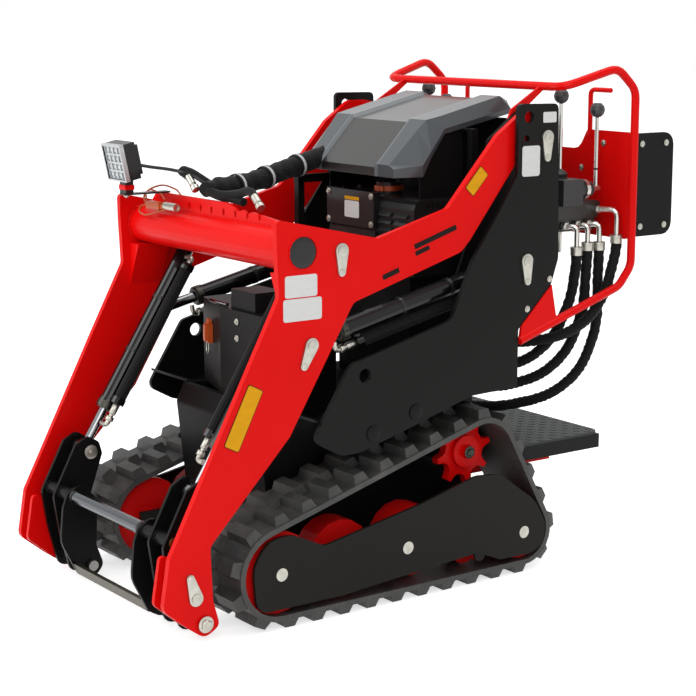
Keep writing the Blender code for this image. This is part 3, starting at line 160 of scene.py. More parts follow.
# %% Red enamel
def worn_paint(name, colour, shade, roughness, peel):
    finish, tree, shader, place = new_finish(name)
    # Broad, faint clouds of 250 mm keep a big plate from looking printed
    clouds = add_node(tree, "ShaderNodeTexNoise", Vector=place, Scale=4.0, Detail=4.0)
    share = add_node(tree, "ShaderNodeMapRange", Value=clouds, i1=0.35, i2=0.75, i3=0.0, i4=0.35)
    base = add_node(tree, "ShaderNodeMix", COLOURS, i0=share, i6=colour, i7=shade)
    rough = add_node(tree, "ShaderNodeMapRange", Value=clouds, i1=0.3, i2=0.8, i3=roughness,
                     i4=roughness + 0.12)
    # Orange peel is about 2 mm across, drawn at 6 mm so that it shows
    waves = add_node(tree, "ShaderNodeTexNoise", Vector=place, Scale=160.0, Detail=2.0)
    bump = add_node(tree, "ShaderNodeBump", Strength=peel, Distance=0.0004, Height=waves)
    feed(tree, shader, Base_Color=base, Roughness=rough, Normal=bump, IOR=1.5, Coat_Weight=0.03,
         Coat_Roughness=0.10, Specular_IOR_Level=0.09)
    return finish, tree, shader, place, base


def bare_where(tree, shader, share, colour, roughness, base):
    """Turn the paint into bare metal where share is one."""
    mixed = add_node(tree, "ShaderNodeMix", COLOURS, i0=share, i6=base, i7=colour)
    bare_before = [link.from_socket for link in shader.inputs["Metallic"].links]
    before = shader.inputs["Roughness"].links[0].from_socket
    rough = add_node(tree, "ShaderNodeMix", {"data_type": "FLOAT"}, i0=share, i2=before, i3=roughness)
    feed(tree, shader, Base_Color=mixed, Roughness=rough,
         Metallic=combined(tree, "MAXIMUM", share, *bare_before))
    return mixed


RED, RED_SHADE = "E00A08", "D00604"
red_enamel, *_ = worn_paint("red_stove_enamel", RED, RED_SHADE, 0.30, 0.25)
arm_enamel, tree, shader, place, base = worn_paint("red_stove_enamel_with_steel_pins", RED, RED_SHADE,
                                                   0.30, 0.25)
bare_where(tree, shader, zone(tree, place, across=(0.0, 0.2815)), "8E8E8A", 0.35, base)
paint_nodes(["guard_frame", "control_panel", "cross_tube"] + both("sprocket"), red_enamel)
paint_nodes(both("lift_arm"), arm_enamel)
print("red enamel:", red_enamel.name, arm_enamel.name)

# %% [markdown]
# ### Black powder coat
# The side plates, tub and coupler are powder coated: a thicker, slightly duller skin than enamel. On
# the coupler, the tube and bar between the hooked plates are polished by use, so they show steel, and
# the tube's steel is painted dark grey as a painted reflection of dark surroundings.

# %% Black powder coat
black_coat, *_ = worn_paint("black_powder_coat", "131313", "0D0D0D", 0.36, 0.45)
paint_nodes(["nose_box", "rear_plate", "hood_frame", "engine_block"] + both("tower", "fender", "wing_panel"),
            black_coat)

side_coat, tree, shader, place, base = worn_paint("black_powder_coat_with_steel_pins", "151514", "0F0F0E",
                                                  0.34, 0.4)
bare_where(tree, shader, zone(tree, place, across=(0.0, 0.3485)), "9A9A96", 0.32, base)
paint_nodes(both("side_plate"), side_coat)

coupler_coat, tree, shader, place, base = worn_paint("black_powder_coat_with_polished_tube_and_painted_reflection", "0F0F0F",
                                                     "0A0A0A", 0.33, 0.4)
HOOKED_PLATE = 0.1605  # the inner face of the hooked plates, where the polish ends
tube = zone(tree, place, across=(0.0, HOOKED_PLATE), up=(0.190, 0.235))
bar = zone(tree, place, across=(0.0, HOOKED_PLATE), up=(0.0, 0.066))
# The tube's polished steel is painted a dark grey, darker than polished steel: a painted dark reflection
bright = bare_where(tree, shader, tube, "5F6265", 0.16, base)
bare_where(tree, shader, bar, "5C584D", 0.42, bright)
paint_nodes(["coupler"], coupler_coat)

tub_coat, tree, shader, place, base = worn_paint("black_powder_coat_with_zinc_ports", "121212", "0C0C0C",
                                                 0.4, 0.4)
bare_where(tree, shader, zone(tree, place, along=(0.601 - MIDDLE, 9)), "B9B7B0", 0.35, base)
paint_nodes(["belly_tub"], tub_coat)
print("black coats:", black_coat.name, side_coat.name, coupler_coat.name, tub_coat.name)

# %% [markdown]
# ### Red wheels behind a black plate
# Each track frame is one solid here: a black outer plate with red wheels behind it. The real wheels are
# painted red castings, so the tree colours whatever lies between the plate and the beam.

# %% Track frame paint
frame_coat, tree, shader, place, base = worn_paint("black_powder_coat_with_red_wheels", "1C1B18", "151411",
                                                   0.38, 0.4)
wheels = zone(tree, place, across=(0.1905, 0.3575))
feed(tree, shader, Base_Color=add_node(tree, "ShaderNodeMix", COLOURS, i0=wheels, i6=base, i7="C8100E"))
paint_nodes(both("track_frame"), frame_coat)
print("track frames painted")

# %% [markdown]
# ### Moulded rubber
# Track rubber is carbon black, matt and dusty. Dust settles in the low spots and on the lugs' flanks,
# so broad noise lifts the colour to a warm grey in places and fine grain roughens the surface.

# %% Track rubber
rubber, tree, shader, place = new_finish("moulded_track_rubber")
# Dust lies in patches of about 70 mm
dust = add_node(tree, "ShaderNodeTexNoise", Vector=place, Scale=14.0, Detail=6.0, Roughness=0.65)
share = add_node(tree, "ShaderNodeMapRange", Value=dust, i1=0.45, i2=0.8, i3=0.0, i4=0.55)
# Mould grain of 1 mm, drawn at 4 mm so that it shows
grain = add_node(tree, "ShaderNodeTexNoise", Vector=place, Scale=250.0, Detail=3.0)
bump = add_node(tree, "ShaderNodeBump", Strength=0.9, Distance=0.0018, Height=grain)
dusty = add_node(tree, "ShaderNodeMix", COLOURS, i0=share, i6="2B2B2A", i7="5A5853")
feed(tree, shader, Base_Color=dusty, Roughness=0.5, Normal=bump, IOR=1.52)
paint_nodes(both("track"), rubber)
print("rubber on the tracks")

# %% [markdown]
# ### Chrome, zinc and cast iron
# Cylinder rods are hard chromed and ground round, so they mirror sharply; their colour is painted darker
# than chrome, as a painted dark reflection. Bolts, retainers and hose fittings are zinc plated: paler,
# softer, slightly mottled. A plain metal keeps the default IOR.

# %% Metals
def plated(name, colour, shade, roughness, scale):
    finish, tree, shader, place = new_finish(name)
    # The skin is mottled in patches: 50 mm on chrome, 17 mm on zinc and 11 mm on cast iron
    mottle = add_node(tree, "ShaderNodeTexNoise", Vector=place, Scale=scale, Detail=3.0)
    mottled = add_node(tree, "ShaderNodeMix", COLOURS, i0=mottle, i6=colour, i7=shade)
    rough = add_node(tree, "ShaderNodeMapRange", Value=mottle, i1=0.3, i2=0.7, i3=roughness,
                     i4=roughness + 0.1)
    feed(tree, shader, Base_Color=mottled, Roughness=rough, Metallic=1.0)
    return finish


# The rods' chrome is painted a darker grey than chrome: painted shade standing in for dark reflections
hard_chrome_in_painted_shade = plated("hard_chrome_in_painted_shade", "8E9092", "7C7E80", 0.10, 20.0)
zinc = plated("bright_zinc_plate", "C6C4BB", "A19F95", 0.30, 60.0)
cast_iron = plated("oiled_cast_iron", "55554F", "3B3A37", 0.42, 90.0)
paint_nodes(both("lift_rod", "tilt_rod"), hard_chrome_in_painted_shade)
print("metals:", hard_chrome_in_painted_shade.name, zinc.name, cast_iron.name)

# %% [markdown]
# ### Moulded hood
# The hood is glossy dark grey ABS with a faint pearl. The clear top layer is what catches the sky, so
# the coat does most of the work; the colour carries a painted reflection on the wings, painted shade
# in the sunk middle panel and a painted highlight on the panel's brim.

# %% Hood plastic
hood_plastic, tree, shader, place = new_finish("glossy_grey_abs")
# The pearl shows as faint clouds of 110 mm
cloud = add_node(tree, "ShaderNodeTexNoise", Vector=place, Scale=9.0, Detail=2.0)
PANEL_EDGE, BRIM_EDGE = 0.105, 0.118
# The wings are painted a lighter, bluer grey than the middle: a painted reflection of the sky
colour = add_node(tree, "ShaderNodeMix", COLOURS, i0=cloud, i6="394045", i7="30363A")
# The sunk middle panel is painted a darker, browner grey: painted shade in the recess
panel = zone(tree, place, across=(0.0, PANEL_EDGE))
colour = add_node(tree, "ShaderNodeMix", COLOURS, i0=panel, i6=colour, i7="1C1A18")
# The brim of the panel is painted a paler grey: a painted highlight where its slope catches the light
brim_highlight = zone(tree, place, across=(PANEL_EDGE, BRIM_EDGE))
colour = add_node(tree, "ShaderNodeMix", COLOURS, i0=brim_highlight, i6=colour, i7="565C5F")
# Mould grain of 1 mm, drawn at 3 mm so that it shows
grain = add_node(tree, "ShaderNodeTexNoise", Vector=place, Scale=300.0, Detail=2.0)
bump = add_node(tree, "ShaderNodeBump", Strength=0.12, Distance=0.0004, Height=grain)
feed(tree, shader, Base_Color=colour, Roughness=0.34, Coat_Weight=0.45, Coat_Roughness=0.09, IOR=1.53,
     Normal=bump)
paint_nodes(["hood"], hood_plastic)

# %% Black moulded plastic
black_plastic, tree, shader, place = new_finish("grained_black_polypropylene")
# Leather grain of 2 mm, drawn at 4.5 mm so that it shows
grain = add_node(tree, "ShaderNodeTexNoise", Vector=place, Scale=220.0, Detail=3.0)
bump = add_node(tree, "ShaderNodeBump", Strength=0.3, Distance=0.0006, Height=grain)
grained = add_node(tree, "ShaderNodeMix", COLOURS, i0=grain, i6="111111", i7="1B1B1B")
feed(tree, shader, Base_Color=grained, Roughness=0.48, Specular_IOR_Level=0.2, Coat_Weight=0.35,
     Coat_Roughness=0.12, Normal=bump)
paint_nodes(["engine_shroud", "work_lamp"], black_plastic)
print("plastics:", hood_plastic.name, black_plastic.name)

# %% [markdown]
# ### Woven hose sleeve
# The pressure hoses wear a tubular sleeve of black nylon webbing. Its threads cross on the slant, so two
# sets of fine bands at right angles make the weave, and the nylon's sheen is soft and wide.

# %% Hose sleeve
sleeve, tree, shader, place = new_finish("woven_nylon_sleeve")
# Threads of 1.5 mm, drawn 5 mm wide so that they show
weave = []
for turn in (0.7, -0.7):
    slant = add_node(tree, "ShaderNodeMapping", Vector=place, Rotation=(turn, turn, 0.4))
    bands = add_node(tree, "ShaderNodeTexWave", Vector=slant, Scale=62.0, Distortion=0.6)
    weave.append(bands.outputs["Fac"])
threads = combined(tree, "MULTIPLY", *weave)
bump = add_node(tree, "ShaderNodeBump", Strength=0.6, Distance=0.0008, Height=threads)
woven = add_node(tree, "ShaderNodeMix", COLOURS, i0=threads, i6="080808", i7="161616")
feed(tree, shader, Base_Color=woven, Roughness=0.7, Specular_IOR_Level=0.15, Sheen_Weight=0.06, Normal=bump)
hoses = [name for name in nodes if "hose" in name]
paint_nodes(hoses, sleeve)
print("sleeves on", len(hoses), "hoses")

# %% [markdown]
# ### Cylinder barrels
# The barrels are honed tube, sprayed gloss black after assembly. The coat is heavier than on the plates,
# so it mirrors more sharply.

# %% Barrel paint
barrel_paint, tree, shader, *_ = worn_paint("gloss_black_enamel", "0A0A0A", "060606", 0.22, 0.2)
feed(tree, shader, Coat_Weight=0.5, Coat_Roughness=0.05)
paint_nodes(both("lift_barrel", "tilt_barrel"), barrel_paint)
print("barrels:", barrel_paint.name)

# %% [markdown]
# ### Control valve
# Each valve is one solid here, but the real one is an assembly: an oiled iron body, a plastic cover,
# zinc fittings, chromed lever rods and moulded knobs. The tree gives each its zone.

# %% Control valve
valve_finish, tree, shader, place = new_finish("oiled_iron_with_zinc_fittings")
# Oil darkens the iron in patches of 11 mm
mottle = add_node(tree, "ShaderNodeTexNoise", Vector=place, Scale=90.0, Detail=3.0)
iron = add_node(tree, "ShaderNodeMix", COLOURS, i0=mottle, i6="1F1F1D", i7="302F2B")
metal = combined(
    tree, "MAXIMUM",
    zone(tree, place, across=(0.2755, 9), up=(0.0, 0.846)),  # fittings at the outer side
    zone(tree, place, up=(0.0, 0.786)),  # relief valve under the body
    zone(tree, place, up=(0.9345, 9)),  # lever rods
    zone(tree, place, along=(0.8395 - MIDDLE, 0.8503 - MIDDLE), up=(0.858, 9)),  # ring under the levers
    zone(tree, place, along=(0.8745 - MIDDLE, 0.900 - MIDDLE), up=(0.870, 0.93)))  # clevis
knobs = combined(tree, "MAXIMUM", zone(tree, place, across=(0.2655, 9), up=(1.0538, 9)),
                 zone(tree, place, up=(1.0878, 9)))
solid = add_node(tree, "ShaderNodeMath", {"operation": "SUBTRACT", "use_clamp": True}, i0=metal, i1=knobs)
rough = add_node(tree, "ShaderNodeMapRange", Value=solid, i3=0.42, i4=0.26)
cover = zone(tree, place, up=(0.852, 9))
colour = iron
for share, shade in ((cover, "202022"), (solid, "C9C8C2"), (knobs, "2B2B2D")):
    colour = add_node(tree, "ShaderNodeMix", COLOURS, i0=share, i6=colour, i7=shade)
feed(tree, shader, Base_Color=colour, Metallic=solid, Roughness=rough)
paint_nodes(both("valve"), valve_finish)
print("valves finished")

# %% [markdown]
# ### Chequer plate and its tray
# The driver's plate is hot-rolled chequer steel, painted dark and rubbed paler where boots land. The box
# under it that bolts to the machine is red.

# %% Platform finishes
deck_steel, *_ = worn_paint("worn_chequer_steel", "3A3D3D", "55575A", 0.42, 0.5)
paint_nodes(["platform_deck"], deck_steel)
tray_coat, tree, shader, place, base = worn_paint("black_tray_with_red_bracket", "1B1B1C", "161617", 0.4, 0.4)
bracket = zone(tree, place, across=(0.0, 0.1705), up=(0.0, 0.2495))
feed(tree, shader, Base_Color=add_node(tree, "ShaderNodeMix", COLOURS, i0=bracket, i6=base, i7="D01012"))
paint_nodes(["platform_base"], tray_coat)
print("platform painted")

# %% [markdown]
# ## Modelling by hand
# The small pieces are modelled as one would at the screen: add a primitive at its size, open it for
# editing, pick faces by where they lie, and extrude, inset, bevel or scale them. An operator acts on
# whatever is selected, so each step starts with nothing selected. A pattern is modelled with its outer
# face up, then stood on the machine, and what repeats is copied, each copy with a mesh of its own.

# %% Helpers that open a mesh and pick parts of it
def quiet():
    """Object mode with nothing selected."""
    if bpy.context.object and bpy.context.object.mode != "OBJECT":
        bpy.ops.object.mode_set(mode="OBJECT")
    bpy.ops.object.select_all(action="DESELECT")


def started(name):
    """Open the primitive that was just added for editing, with nothing in it selected."""
    piece = bpy.context.object
    piece.name = piece.data.name = name
    bpy.ops.object.transform_apply(location=True, rotation=True, scale=True)
    bpy.ops.object.mode_set(mode="EDIT")
    bpy.ops.mesh.select_mode(type="FACE")
    bpy.ops.mesh.select_all(action="DESELECT")
    return piece


def round_blank(name, sides, radius, depth):
    """A disc or rod that stands on the ground, open for editing."""
    quiet()
    bpy.ops.mesh.primitive_cylinder_add(vertices=sides, radius=radius, depth=depth,
                                        location=(0, 0, depth / 2))
    return started(name)


def pick(piece, test, kind="FACE"):
    """Select the faces, edges or vertices that pass a test of their middle and their direction."""
    bpy.ops.mesh.select_mode(type=kind)
    bpy.ops.mesh.select_all(action="DESELECT")
    work = bmesh.from_edit_mesh(piece.data)
    work.normal_update()
    if kind == "FACE":
        chosen = [f for f in work.faces if test(f.calc_center_median(), f.normal)]
    elif kind == "EDGE":
        ends = [(e, e.verts[0].co, e.verts[1].co) for e in work.edges]
        chosen = [e for e, first, last in ends if test((first + last) / 2, (last - first).normalized())]
    else:
        chosen = [v for v in work.verts if test(v.co, v.normal)]
    for part in chosen:
        part.select_set(True)
    work.select_flush_mode()
    bmesh.update_edit_mesh(piece.data)


def everything(middle, way):
    return True


def facing_up(middle, way):
    return way.z > 0.5


def flat_top(middle, way):
    return way.z > 0.99


def top_and_foot(middle, way):
    return abs(way.z) > 0.5


def lying(middle, way):
    return abs(way.z) < 0.1


# %% Helpers that shape what is picked
def border(width, **options):
    """Inset what is picked, so that it gets a border."""
    bpy.ops.mesh.inset(thickness=width, **options)


def soften(width, steps=2):
    """Bevel the edges of what is picked."""
    bpy.ops.mesh.bevel(offset=width, segments=steps, affect="EDGES")


def push(distance, axis=2):
    """Extrude what is picked along one axis."""
    move = [distance * (k == axis) for k in range(3)]
    bpy.ops.mesh.extrude_region_move(TRANSFORM_OT_translate={"value": move})


def swell(distance):
    """Extrude each picked face along its own normal, inwards where the distance is below zero."""
    bpy.ops.mesh.extrude_faces_move(TRANSFORM_OT_shrink_fatten={"value": distance})


def scaled(*factors):
    """Scale what is picked about the pattern's origin."""
    bpy.ops.transform.resize(value=factors, center_override=(0, 0, 0))


# %% Helpers that place, join and dress pieces
def at(x, station, height):
    """A place on the machine, from its distance off the middle, its station and its height."""
    return Vector((x, station - MIDDLE, height))


def stood(place, out, up=(0, 0, 1)):
    """The turn and move that stand a pattern at a place, its face towards out and its top towards up."""
    out = Vector(out).normalized()
    right = Vector(up).cross(out).normalized()
    turn = Matrix((right, out.cross(right), out)).transposed().to_4x4()
    return Matrix.Translation(place) @ turn


def joined(pieces, name):
    """Join pieces into the first of them, which gets the name."""
    quiet()
    for piece in pieces:
        piece.select_set(True)
    bpy.context.view_layer.objects.active = pieces[0]
    bpy.context.view_layer.update()
    bpy.ops.object.join()
    pieces[0].name = pieces[0].data.name = name
    return pieces[0]


def copies(pattern, name, moves):
    """Copy a pattern to each place, each copy with its own mesh, and join them into one piece."""
    quiet()
    made = []
    for move in moves:
        one = pattern.copy()
        one.data = pattern.data.copy()
        one.matrix_world = move
        bpy.context.scene.collection.objects.link(one)
        made.append(one)
    piece = joined(made, name)
    bpy.ops.object.transform_apply(location=True, rotation=True, scale=True)
    return piece


def finished_by(piece, kind, **settings):
    """Add a modifier to a piece and apply it."""
    quiet()
    modifier = piece.modifiers.new(kind.title(), kind)
    for name, value in settings.items():
        setattr(modifier, name, value)
    bpy.context.view_layer.objects.active = piece
    bpy.ops.object.modifier_apply(modifier=modifier.name)


def dressed(piece, finish, body, sharp=35):
    """Leave edit mode, smooth all but the sharp edges, paint the piece and let it ride a body."""
    quiet()
    piece.select_set(True)
    bpy.context.view_layer.objects.active = piece
    bpy.ops.object.transform_apply(location=True, rotation=True, scale=True)
    bpy.ops.object.shade_smooth_by_angle(angle=math.radians(sharp))
    piece.data.materials.clear()
    piece.data.materials.append(finish)
    if body:
        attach(piece, body)
    quiet()
    print(piece.name, "on", body, "faces:", len(piece.data.polygons))
    return piece


def put_away(*patterns):
    for pattern in patterns:
        bpy.data.objects.remove(pattern)


quiet()

# %% [markdown]
# ### Bolts and retainers
# Each pivot pin is kept in by a flat drop-shaped retainer, held by one small bolt. It could be cut from
# a plate with Booleans, but a disc whose lower half is dragged down and narrowed gives the drop shape in
# one move. Bolts are hexagons with a chamfered head on a washer.

# %% Patterns for a retainer and a bolt
RETAINER_THICKNESS = 0.0055


def retainer_pattern(length):
    bpy.ops.mesh.primitive_circle_add(vertices=28, radius=0.0165, fill_type="NGON")
    drop = started("retainer_pattern")
    pick(drop, lambda middle, way: middle.y < -0.0005, "VERT")
    scaled(0.56, 0.56, 1)
    bpy.ops.transform.translate(value=(0, -length, 0))
    pick(drop, everything)
    push(RETAINER_THICKNESS)
    pick(drop, facing_up)
    soften(0.0009)
    quiet()
    return drop


def bolt_pattern(name, radius, height, washer, thick=0.002):
    bolt = round_blank(name, 20, washer, thick)
    pick(bolt, facing_up)
    border(0.0008)
    bpy.ops.transform.translate(value=(0, 0, thick * 0.2))
    quiet()
    bpy.ops.mesh.primitive_cylinder_add(vertices=6, radius=radius, depth=height,
                                        location=(0, 0, (height + thick) / 2))
    head = started("head")
    pick(head, facing_up)
    soften(radius * 0.18, 1)
    pick(head, flat_top)
    border(radius * 0.2)
    push(min(0.0006, height * 0.2))
    bolt = joined([bolt, head], name)
    quiet()
    return bolt


small_bolt = bolt_pattern("small_bolt", 0.0055, 0.004, 0.0075)
plate_bolt = bolt_pattern("plate_bolt", 0.0095, 0.0065, 0.0145)
large_bolt = bolt_pattern("large_bolt", 0.0125, 0.008, 0.018)
low_bolt = bolt_pattern("low_bolt", 0.0052, 0.0018, 0.0075, 0.001)
flat_bolt = bolt_pattern("flat_bolt", 0.0085, 0.0009, 0.0145, 0.0006)

# %% Rounded end of a pin, as it shows in its retainer
pin_end = round_blank("pin_end", 28, 0.0115, 0.0022)
pick(pin_end, facing_up)
soften(0.0009)
pick(pin_end, flat_top)
border(0.0055)
push(-0.0006)
quiet()
print("patterns ready")

# %% Retainers on the side plates and the arms
SIDE_FACE, ARM_FACE = 0.3593, 0.3413  # how far out the side plates and the arms' bosses reach
RETAINERS = [  # body, face it lies on, station and height of its big end, then of its bolt
    ("chassis", SIDE_FACE, (0.660, 1.021), (0.660, 0.975)),
    ("chassis", SIDE_FACE, (0.6045, 0.742), (0.6065, 0.695)),
    ("lift_arm", ARM_FACE, (0.097, 0.803), (0.0965, 0.757)),
    ("lift_arm", ARM_FACE, (0.0185, 0.607), (-0.0015, 0.564)),
    ("lift_arm", ARM_FACE, (-0.276, 0.104), (-0.289, 0.149))]
for body in ("chassis", "lift_arm"):
    for side, side_name in SIDES:
        out, drops, bolts, ends = (side, 0, 0), [], [], []
        for face, big, small in [row[1:] for row in RETAINERS if row[0] == body]:
            reach = at(0, *big) - at(0, *small)
            up, top = reach.normalized(), side * (face + RETAINER_THICKNESS)
            pattern = retainer_pattern(reach.length)
            drops.append(copies(pattern, "one_drop", [stood(at(side * face, *big), out, up)]))
            put_away(pattern)
            bolts.append(stood(at(top, *small), out, up))
            ends.append(stood(at(top, *big), out, up))
        ending = "_" + body + "_" + side_name
        dressed(joined(drops, "pin_retainers" + ending), zinc, body)
        dressed(copies(low_bolt, "retainer_bolts" + ending, bolts), zinc, body)
        dressed(copies(pin_end, "pin_ends" + ending, ends), zinc, body)

# %% Bolts on the plates
ARM_END_FACE, FRAME_FACE, WING_FACE = 0.3453, 0.3663, 0.3623
NOSE_STATION, PANEL_STATION = 0.0217, 0.9348
FRONT = ((1, ""),)
BOTH_SIDES = ((1, "_left"), (-1, "_right"))
BOLTS = [  # piece, pattern, body, whether it faces front or is on both sides, places (x, station, height)
    ("side_plate_bolts", small_bolt, "chassis", BOTH_SIDES,
     [(SIDE_FACE, 0.676, 0.694), (SIDE_FACE, 0.609, 0.630)]),
    ("arm_end_bolt", large_bolt, "lift_arm", BOTH_SIDES, [(ARM_END_FACE, -0.254, 0.044)]),
    ("track_frame_bolts", flat_bolt, "chassis", BOTH_SIDES,
     [(FRAME_FACE, -0.076, 0.124), (FRAME_FACE, 0.263, 0.123), (FRAME_FACE, 0.607, 0.100)]),
    ("nose_bolts", small_bolt, "chassis", FRONT,
     [(x, NOSE_STATION, z) for x in (0.043, 0.150) for z in (0.615, 0.577)]),
    ("panel_bolts", small_bolt, "chassis", FRONT,
     [(x, PANEL_STATION, z) for x, z in ((0.184, 0.927), (0.184, 0.800), (-0.184, 0.927), (-0.184, 0.800),
                                         (0.259, 0.990), (-0.259, 0.990))]),
    ("wing_bolts", small_bolt, "chassis", BOTH_SIDES,
     [(WING_FACE, y, z) for y in (0.960, 1.040) for z in (0.796, 0.993)])]
for name, pattern, body, where, places in BOLTS:
    for side, ending in where:
        out = (0, -1, 0) if where is FRONT else (side, 0, 0)
        spots = [stood(at(side * x, y, z), out) for x, y, z in places]
        dressed(copies(pattern, name + ending, spots), zinc, body)

# %% [markdown]
# ### Plugs in the arms
# The cross tube ends in a round opening in each arm, closed by a domed black plastic plug. A shallow
# cylinder with its edge bevelled and its face pulled up a little gives the dome.

# %% Two plugs
CROSS_TUBE = (-0.001, 0.806)
PLUG_FACE = 0.3385
plug = round_blank("plug", 40, 0.0335, 0.003)
pick(plug, facing_up)
soften(0.0012)
pick(plug, flat_top)
border(0.010)
bpy.ops.transform.translate(value=(0, 0, 0.0006))
quiet()
for side, side_name in SIDES:
    dressed(copies(plug, "arm_plug_" + side_name, [stood(at(side * PLUG_FACE, *CROSS_TUBE), (side, 0, 0))]),
            black_plastic, "lift_arm")
put_away(plug)

# %% [markdown]
# ### Bare plates and stripes
# The arms and side plates carry a few thin films: blank plates of white or yellow with rounded corners,
# each at its own place and angle, and black stripes beside them. The yellow ones lie on a slightly
# larger black film, which gives them their border. A thin box with its four upright edges bevelled is
# enough, since film is flat.

# %% Films for the plates
def film(name, colour, shade):
    finish, tree, shader, place = new_finish(name)
    # Thin cast film shows faint streaks 30 mm long and a soft gloss
    streak = add_node(tree, "ShaderNodeMapping", Vector=place, Scale=(30.0, 30.0, 120.0))
    cloud = add_node(tree, "ShaderNodeTexNoise", Vector=streak, Scale=1.0, Detail=2.0)
    streaked = add_node(tree, "ShaderNodeMix", COLOURS, i0=cloud, i6=colour, i7=shade)
    bump = add_node(tree, "ShaderNodeBump", Strength=0.1, Distance=0.0003, Height=cloud)
    feed(tree, shader, Base_Color=streaked, Normal=bump, Roughness=0.38, Specular_IOR_Level=0.1)
    return finish


white_film = film("white_vinyl_film", "DCDCDA", "CFCFCD")
yellow_film = film("yellow_vinyl_film", "E3A414", "CE9210")
black_film = film("black_vinyl_film", "17100F", "201514")

# %% Plates and stripes
FILM = 0.0006  # drawn thicker than real film, so that it stands clear of the plate under it
OVER = 0.0004  # how much further out a film lies that covers another


def plate(name, finish, body, face, middle, size, turn=0.0, out=(1, 0, 0)):
    """A film plate: face is its x, middle its station and height, turn in degrees."""
    bpy.ops.mesh.primitive_cube_add(size=1, scale=(size[0], size[1], FILM), location=(0, 0, FILM / 2))
    blank = started(name)
    pick(blank, lambda middle, way: abs(way.z) > 0.9, "EDGE")
    soften(min(size) * 0.12, 4)
    pick(blank, flat_top)
    border(0.0004)
    quiet()
    lean = math.radians(turn)
    blank.matrix_world = stood(at(face, *middle), out, (0, -math.sin(lean) * out[0], math.cos(lean)))
    return dressed(blank, finish, body)


for name, finish, face, middle, size, turn in (
        ("arm_plate_upper", white_film, ARM_FACE, (-0.0065, 0.736), (0.082, 0.047), 0.0),
        ("arm_plate_lower", white_film, ARM_FACE, (-0.003, 0.686), (0.098, 0.048), 0.0),
        ("arm_border_yellow", black_film, ARM_FACE, (-0.153, 0.4705), (0.0405, 0.140), -27.0),
        ("arm_plate_yellow", yellow_film, ARM_FACE + OVER, (-0.153, 0.4705), (0.0375, 0.137), -27.0),
        ("arm_border_square", black_film, ARM_FACE, (0.469, 0.930), (0.0315, 0.064), -43.0),
        ("arm_plate_square", yellow_film, ARM_FACE + OVER, (0.469, 0.930), (0.029, 0.0615), -43.0),
        ("arm_stripe_long", black_film, ARM_FACE, (0.353, 0.8135), (0.122, 0.0115), 17.0),
        ("arm_stripe_middle", black_film, ARM_FACE, (0.3165, 0.786), (0.040, 0.0100), 17.0),
        ("arm_stripe_short", black_film, ARM_FACE, (0.230, 0.742), (0.046, 0.0115), 17.0)):
    plate(name, finish, "lift_arm", face, middle, size, turn)
for name, finish, middle, size in (
        ("side_plate_white", white_film, (0.613, 0.969), (0.053, 0.069)),
        ("side_plate_header", black_film, (0.613, 1.010), (0.053, 0.009)),
        ("side_plate_small", white_film, (0.6675, 1.066), (0.040, 0.024))):
    plate(name, finish, "chassis", SIDE_FACE, middle, size)
print("plates done")

# %% [markdown]
# ### Work lamp
# The lamp is a square of sixteen small diodes, each in its own bright cup, behind a thin silver bezel. A
# grid of four by four faces is inset face by face, and each inner face is pushed in and narrowed, so the
# cups come out in three moves. A red fork holds the lamp on its strap.

# %% Lamp cups
silver = plated("vacuum_metallised_reflector", "C9CBCC", "A3A6A8", 0.24, 40.0)
LAMP_TILT = math.radians(12)
LAMP_AT = (-0.228, -0.119, 0.921)  # x, station and height of the middle of the face's lower edge
HALF_FACE = 0.0425
CUPS_OUT, BEZEL_OUT = 0.0045, 0.0025  # how far before the housing's face they lie
face_out = Vector((0, -math.cos(LAMP_TILT), -math.sin(LAMP_TILT)))
face_up = Vector((0, -math.sin(LAMP_TILT), math.cos(LAMP_TILT)))
face_middle = at(*LAMP_AT) + face_up * HALF_FACE
bpy.ops.mesh.primitive_grid_add(x_subdivisions=4, y_subdivisions=4, size=0.078)
cups = started("lamp_reflector")
pick(cups, everything)
border(0.0022, use_individual=True)
swell(-0.004)
pick(cups, lambda middle, way: middle.z < -0.003 and abs(way.z) > 0.9)
border(0.0035, use_individual=True)
swell(0.002)
finished_by(cups, "BEVEL", width=0.0005, segments=2, limit_method="ANGLE")
cups.matrix_world = stood(face_middle + face_out * CUPS_OUT, face_out, face_up)
dressed(cups, silver, "lift_arm")

# %% Lamp bezel and fork
bpy.ops.mesh.primitive_cube_add(size=1, scale=(0.0858, 0.0848, 0.009))
bezel = started("lamp_bezel")
pick(bezel, top_and_foot)
border(0.0035)
bpy.ops.mesh.delete(type="FACE")
finished_by(bezel, "SOLIDIFY", thickness=0.0012, offset=1)
bezel.matrix_world = stood(face_middle + face_out * BEZEL_OUT, face_out, face_up)
dressed(bezel, silver, "lift_arm")

FORK_AT = (LAMP_AT[0], LAMP_AT[1] + 0.016)
FORK_HEIGHT, FORK_BOLT_HEIGHT = 0.9045, 0.8857
bpy.ops.mesh.primitive_cube_add(size=1, scale=(0.030, 0.024, 0.012))
fork = started("lamp_fork")
pick(fork, facing_up)
border(0.004)
push(0.010)
pick(fork, lying, "EDGE")
soften(0.0015)
quiet()
fork.matrix_world = stood(at(*FORK_AT, FORK_HEIGHT), (0, 0, 1), (0, 1, 0))
dressed(fork, red_enamel, "lift_arm")
under = stood(at(*FORK_AT, FORK_BOLT_HEIGHT), (0, 0, -1), (0, 1, 0))
dressed(copies(small_bolt, "lamp_bolt", [under]), zinc, "lift_arm")
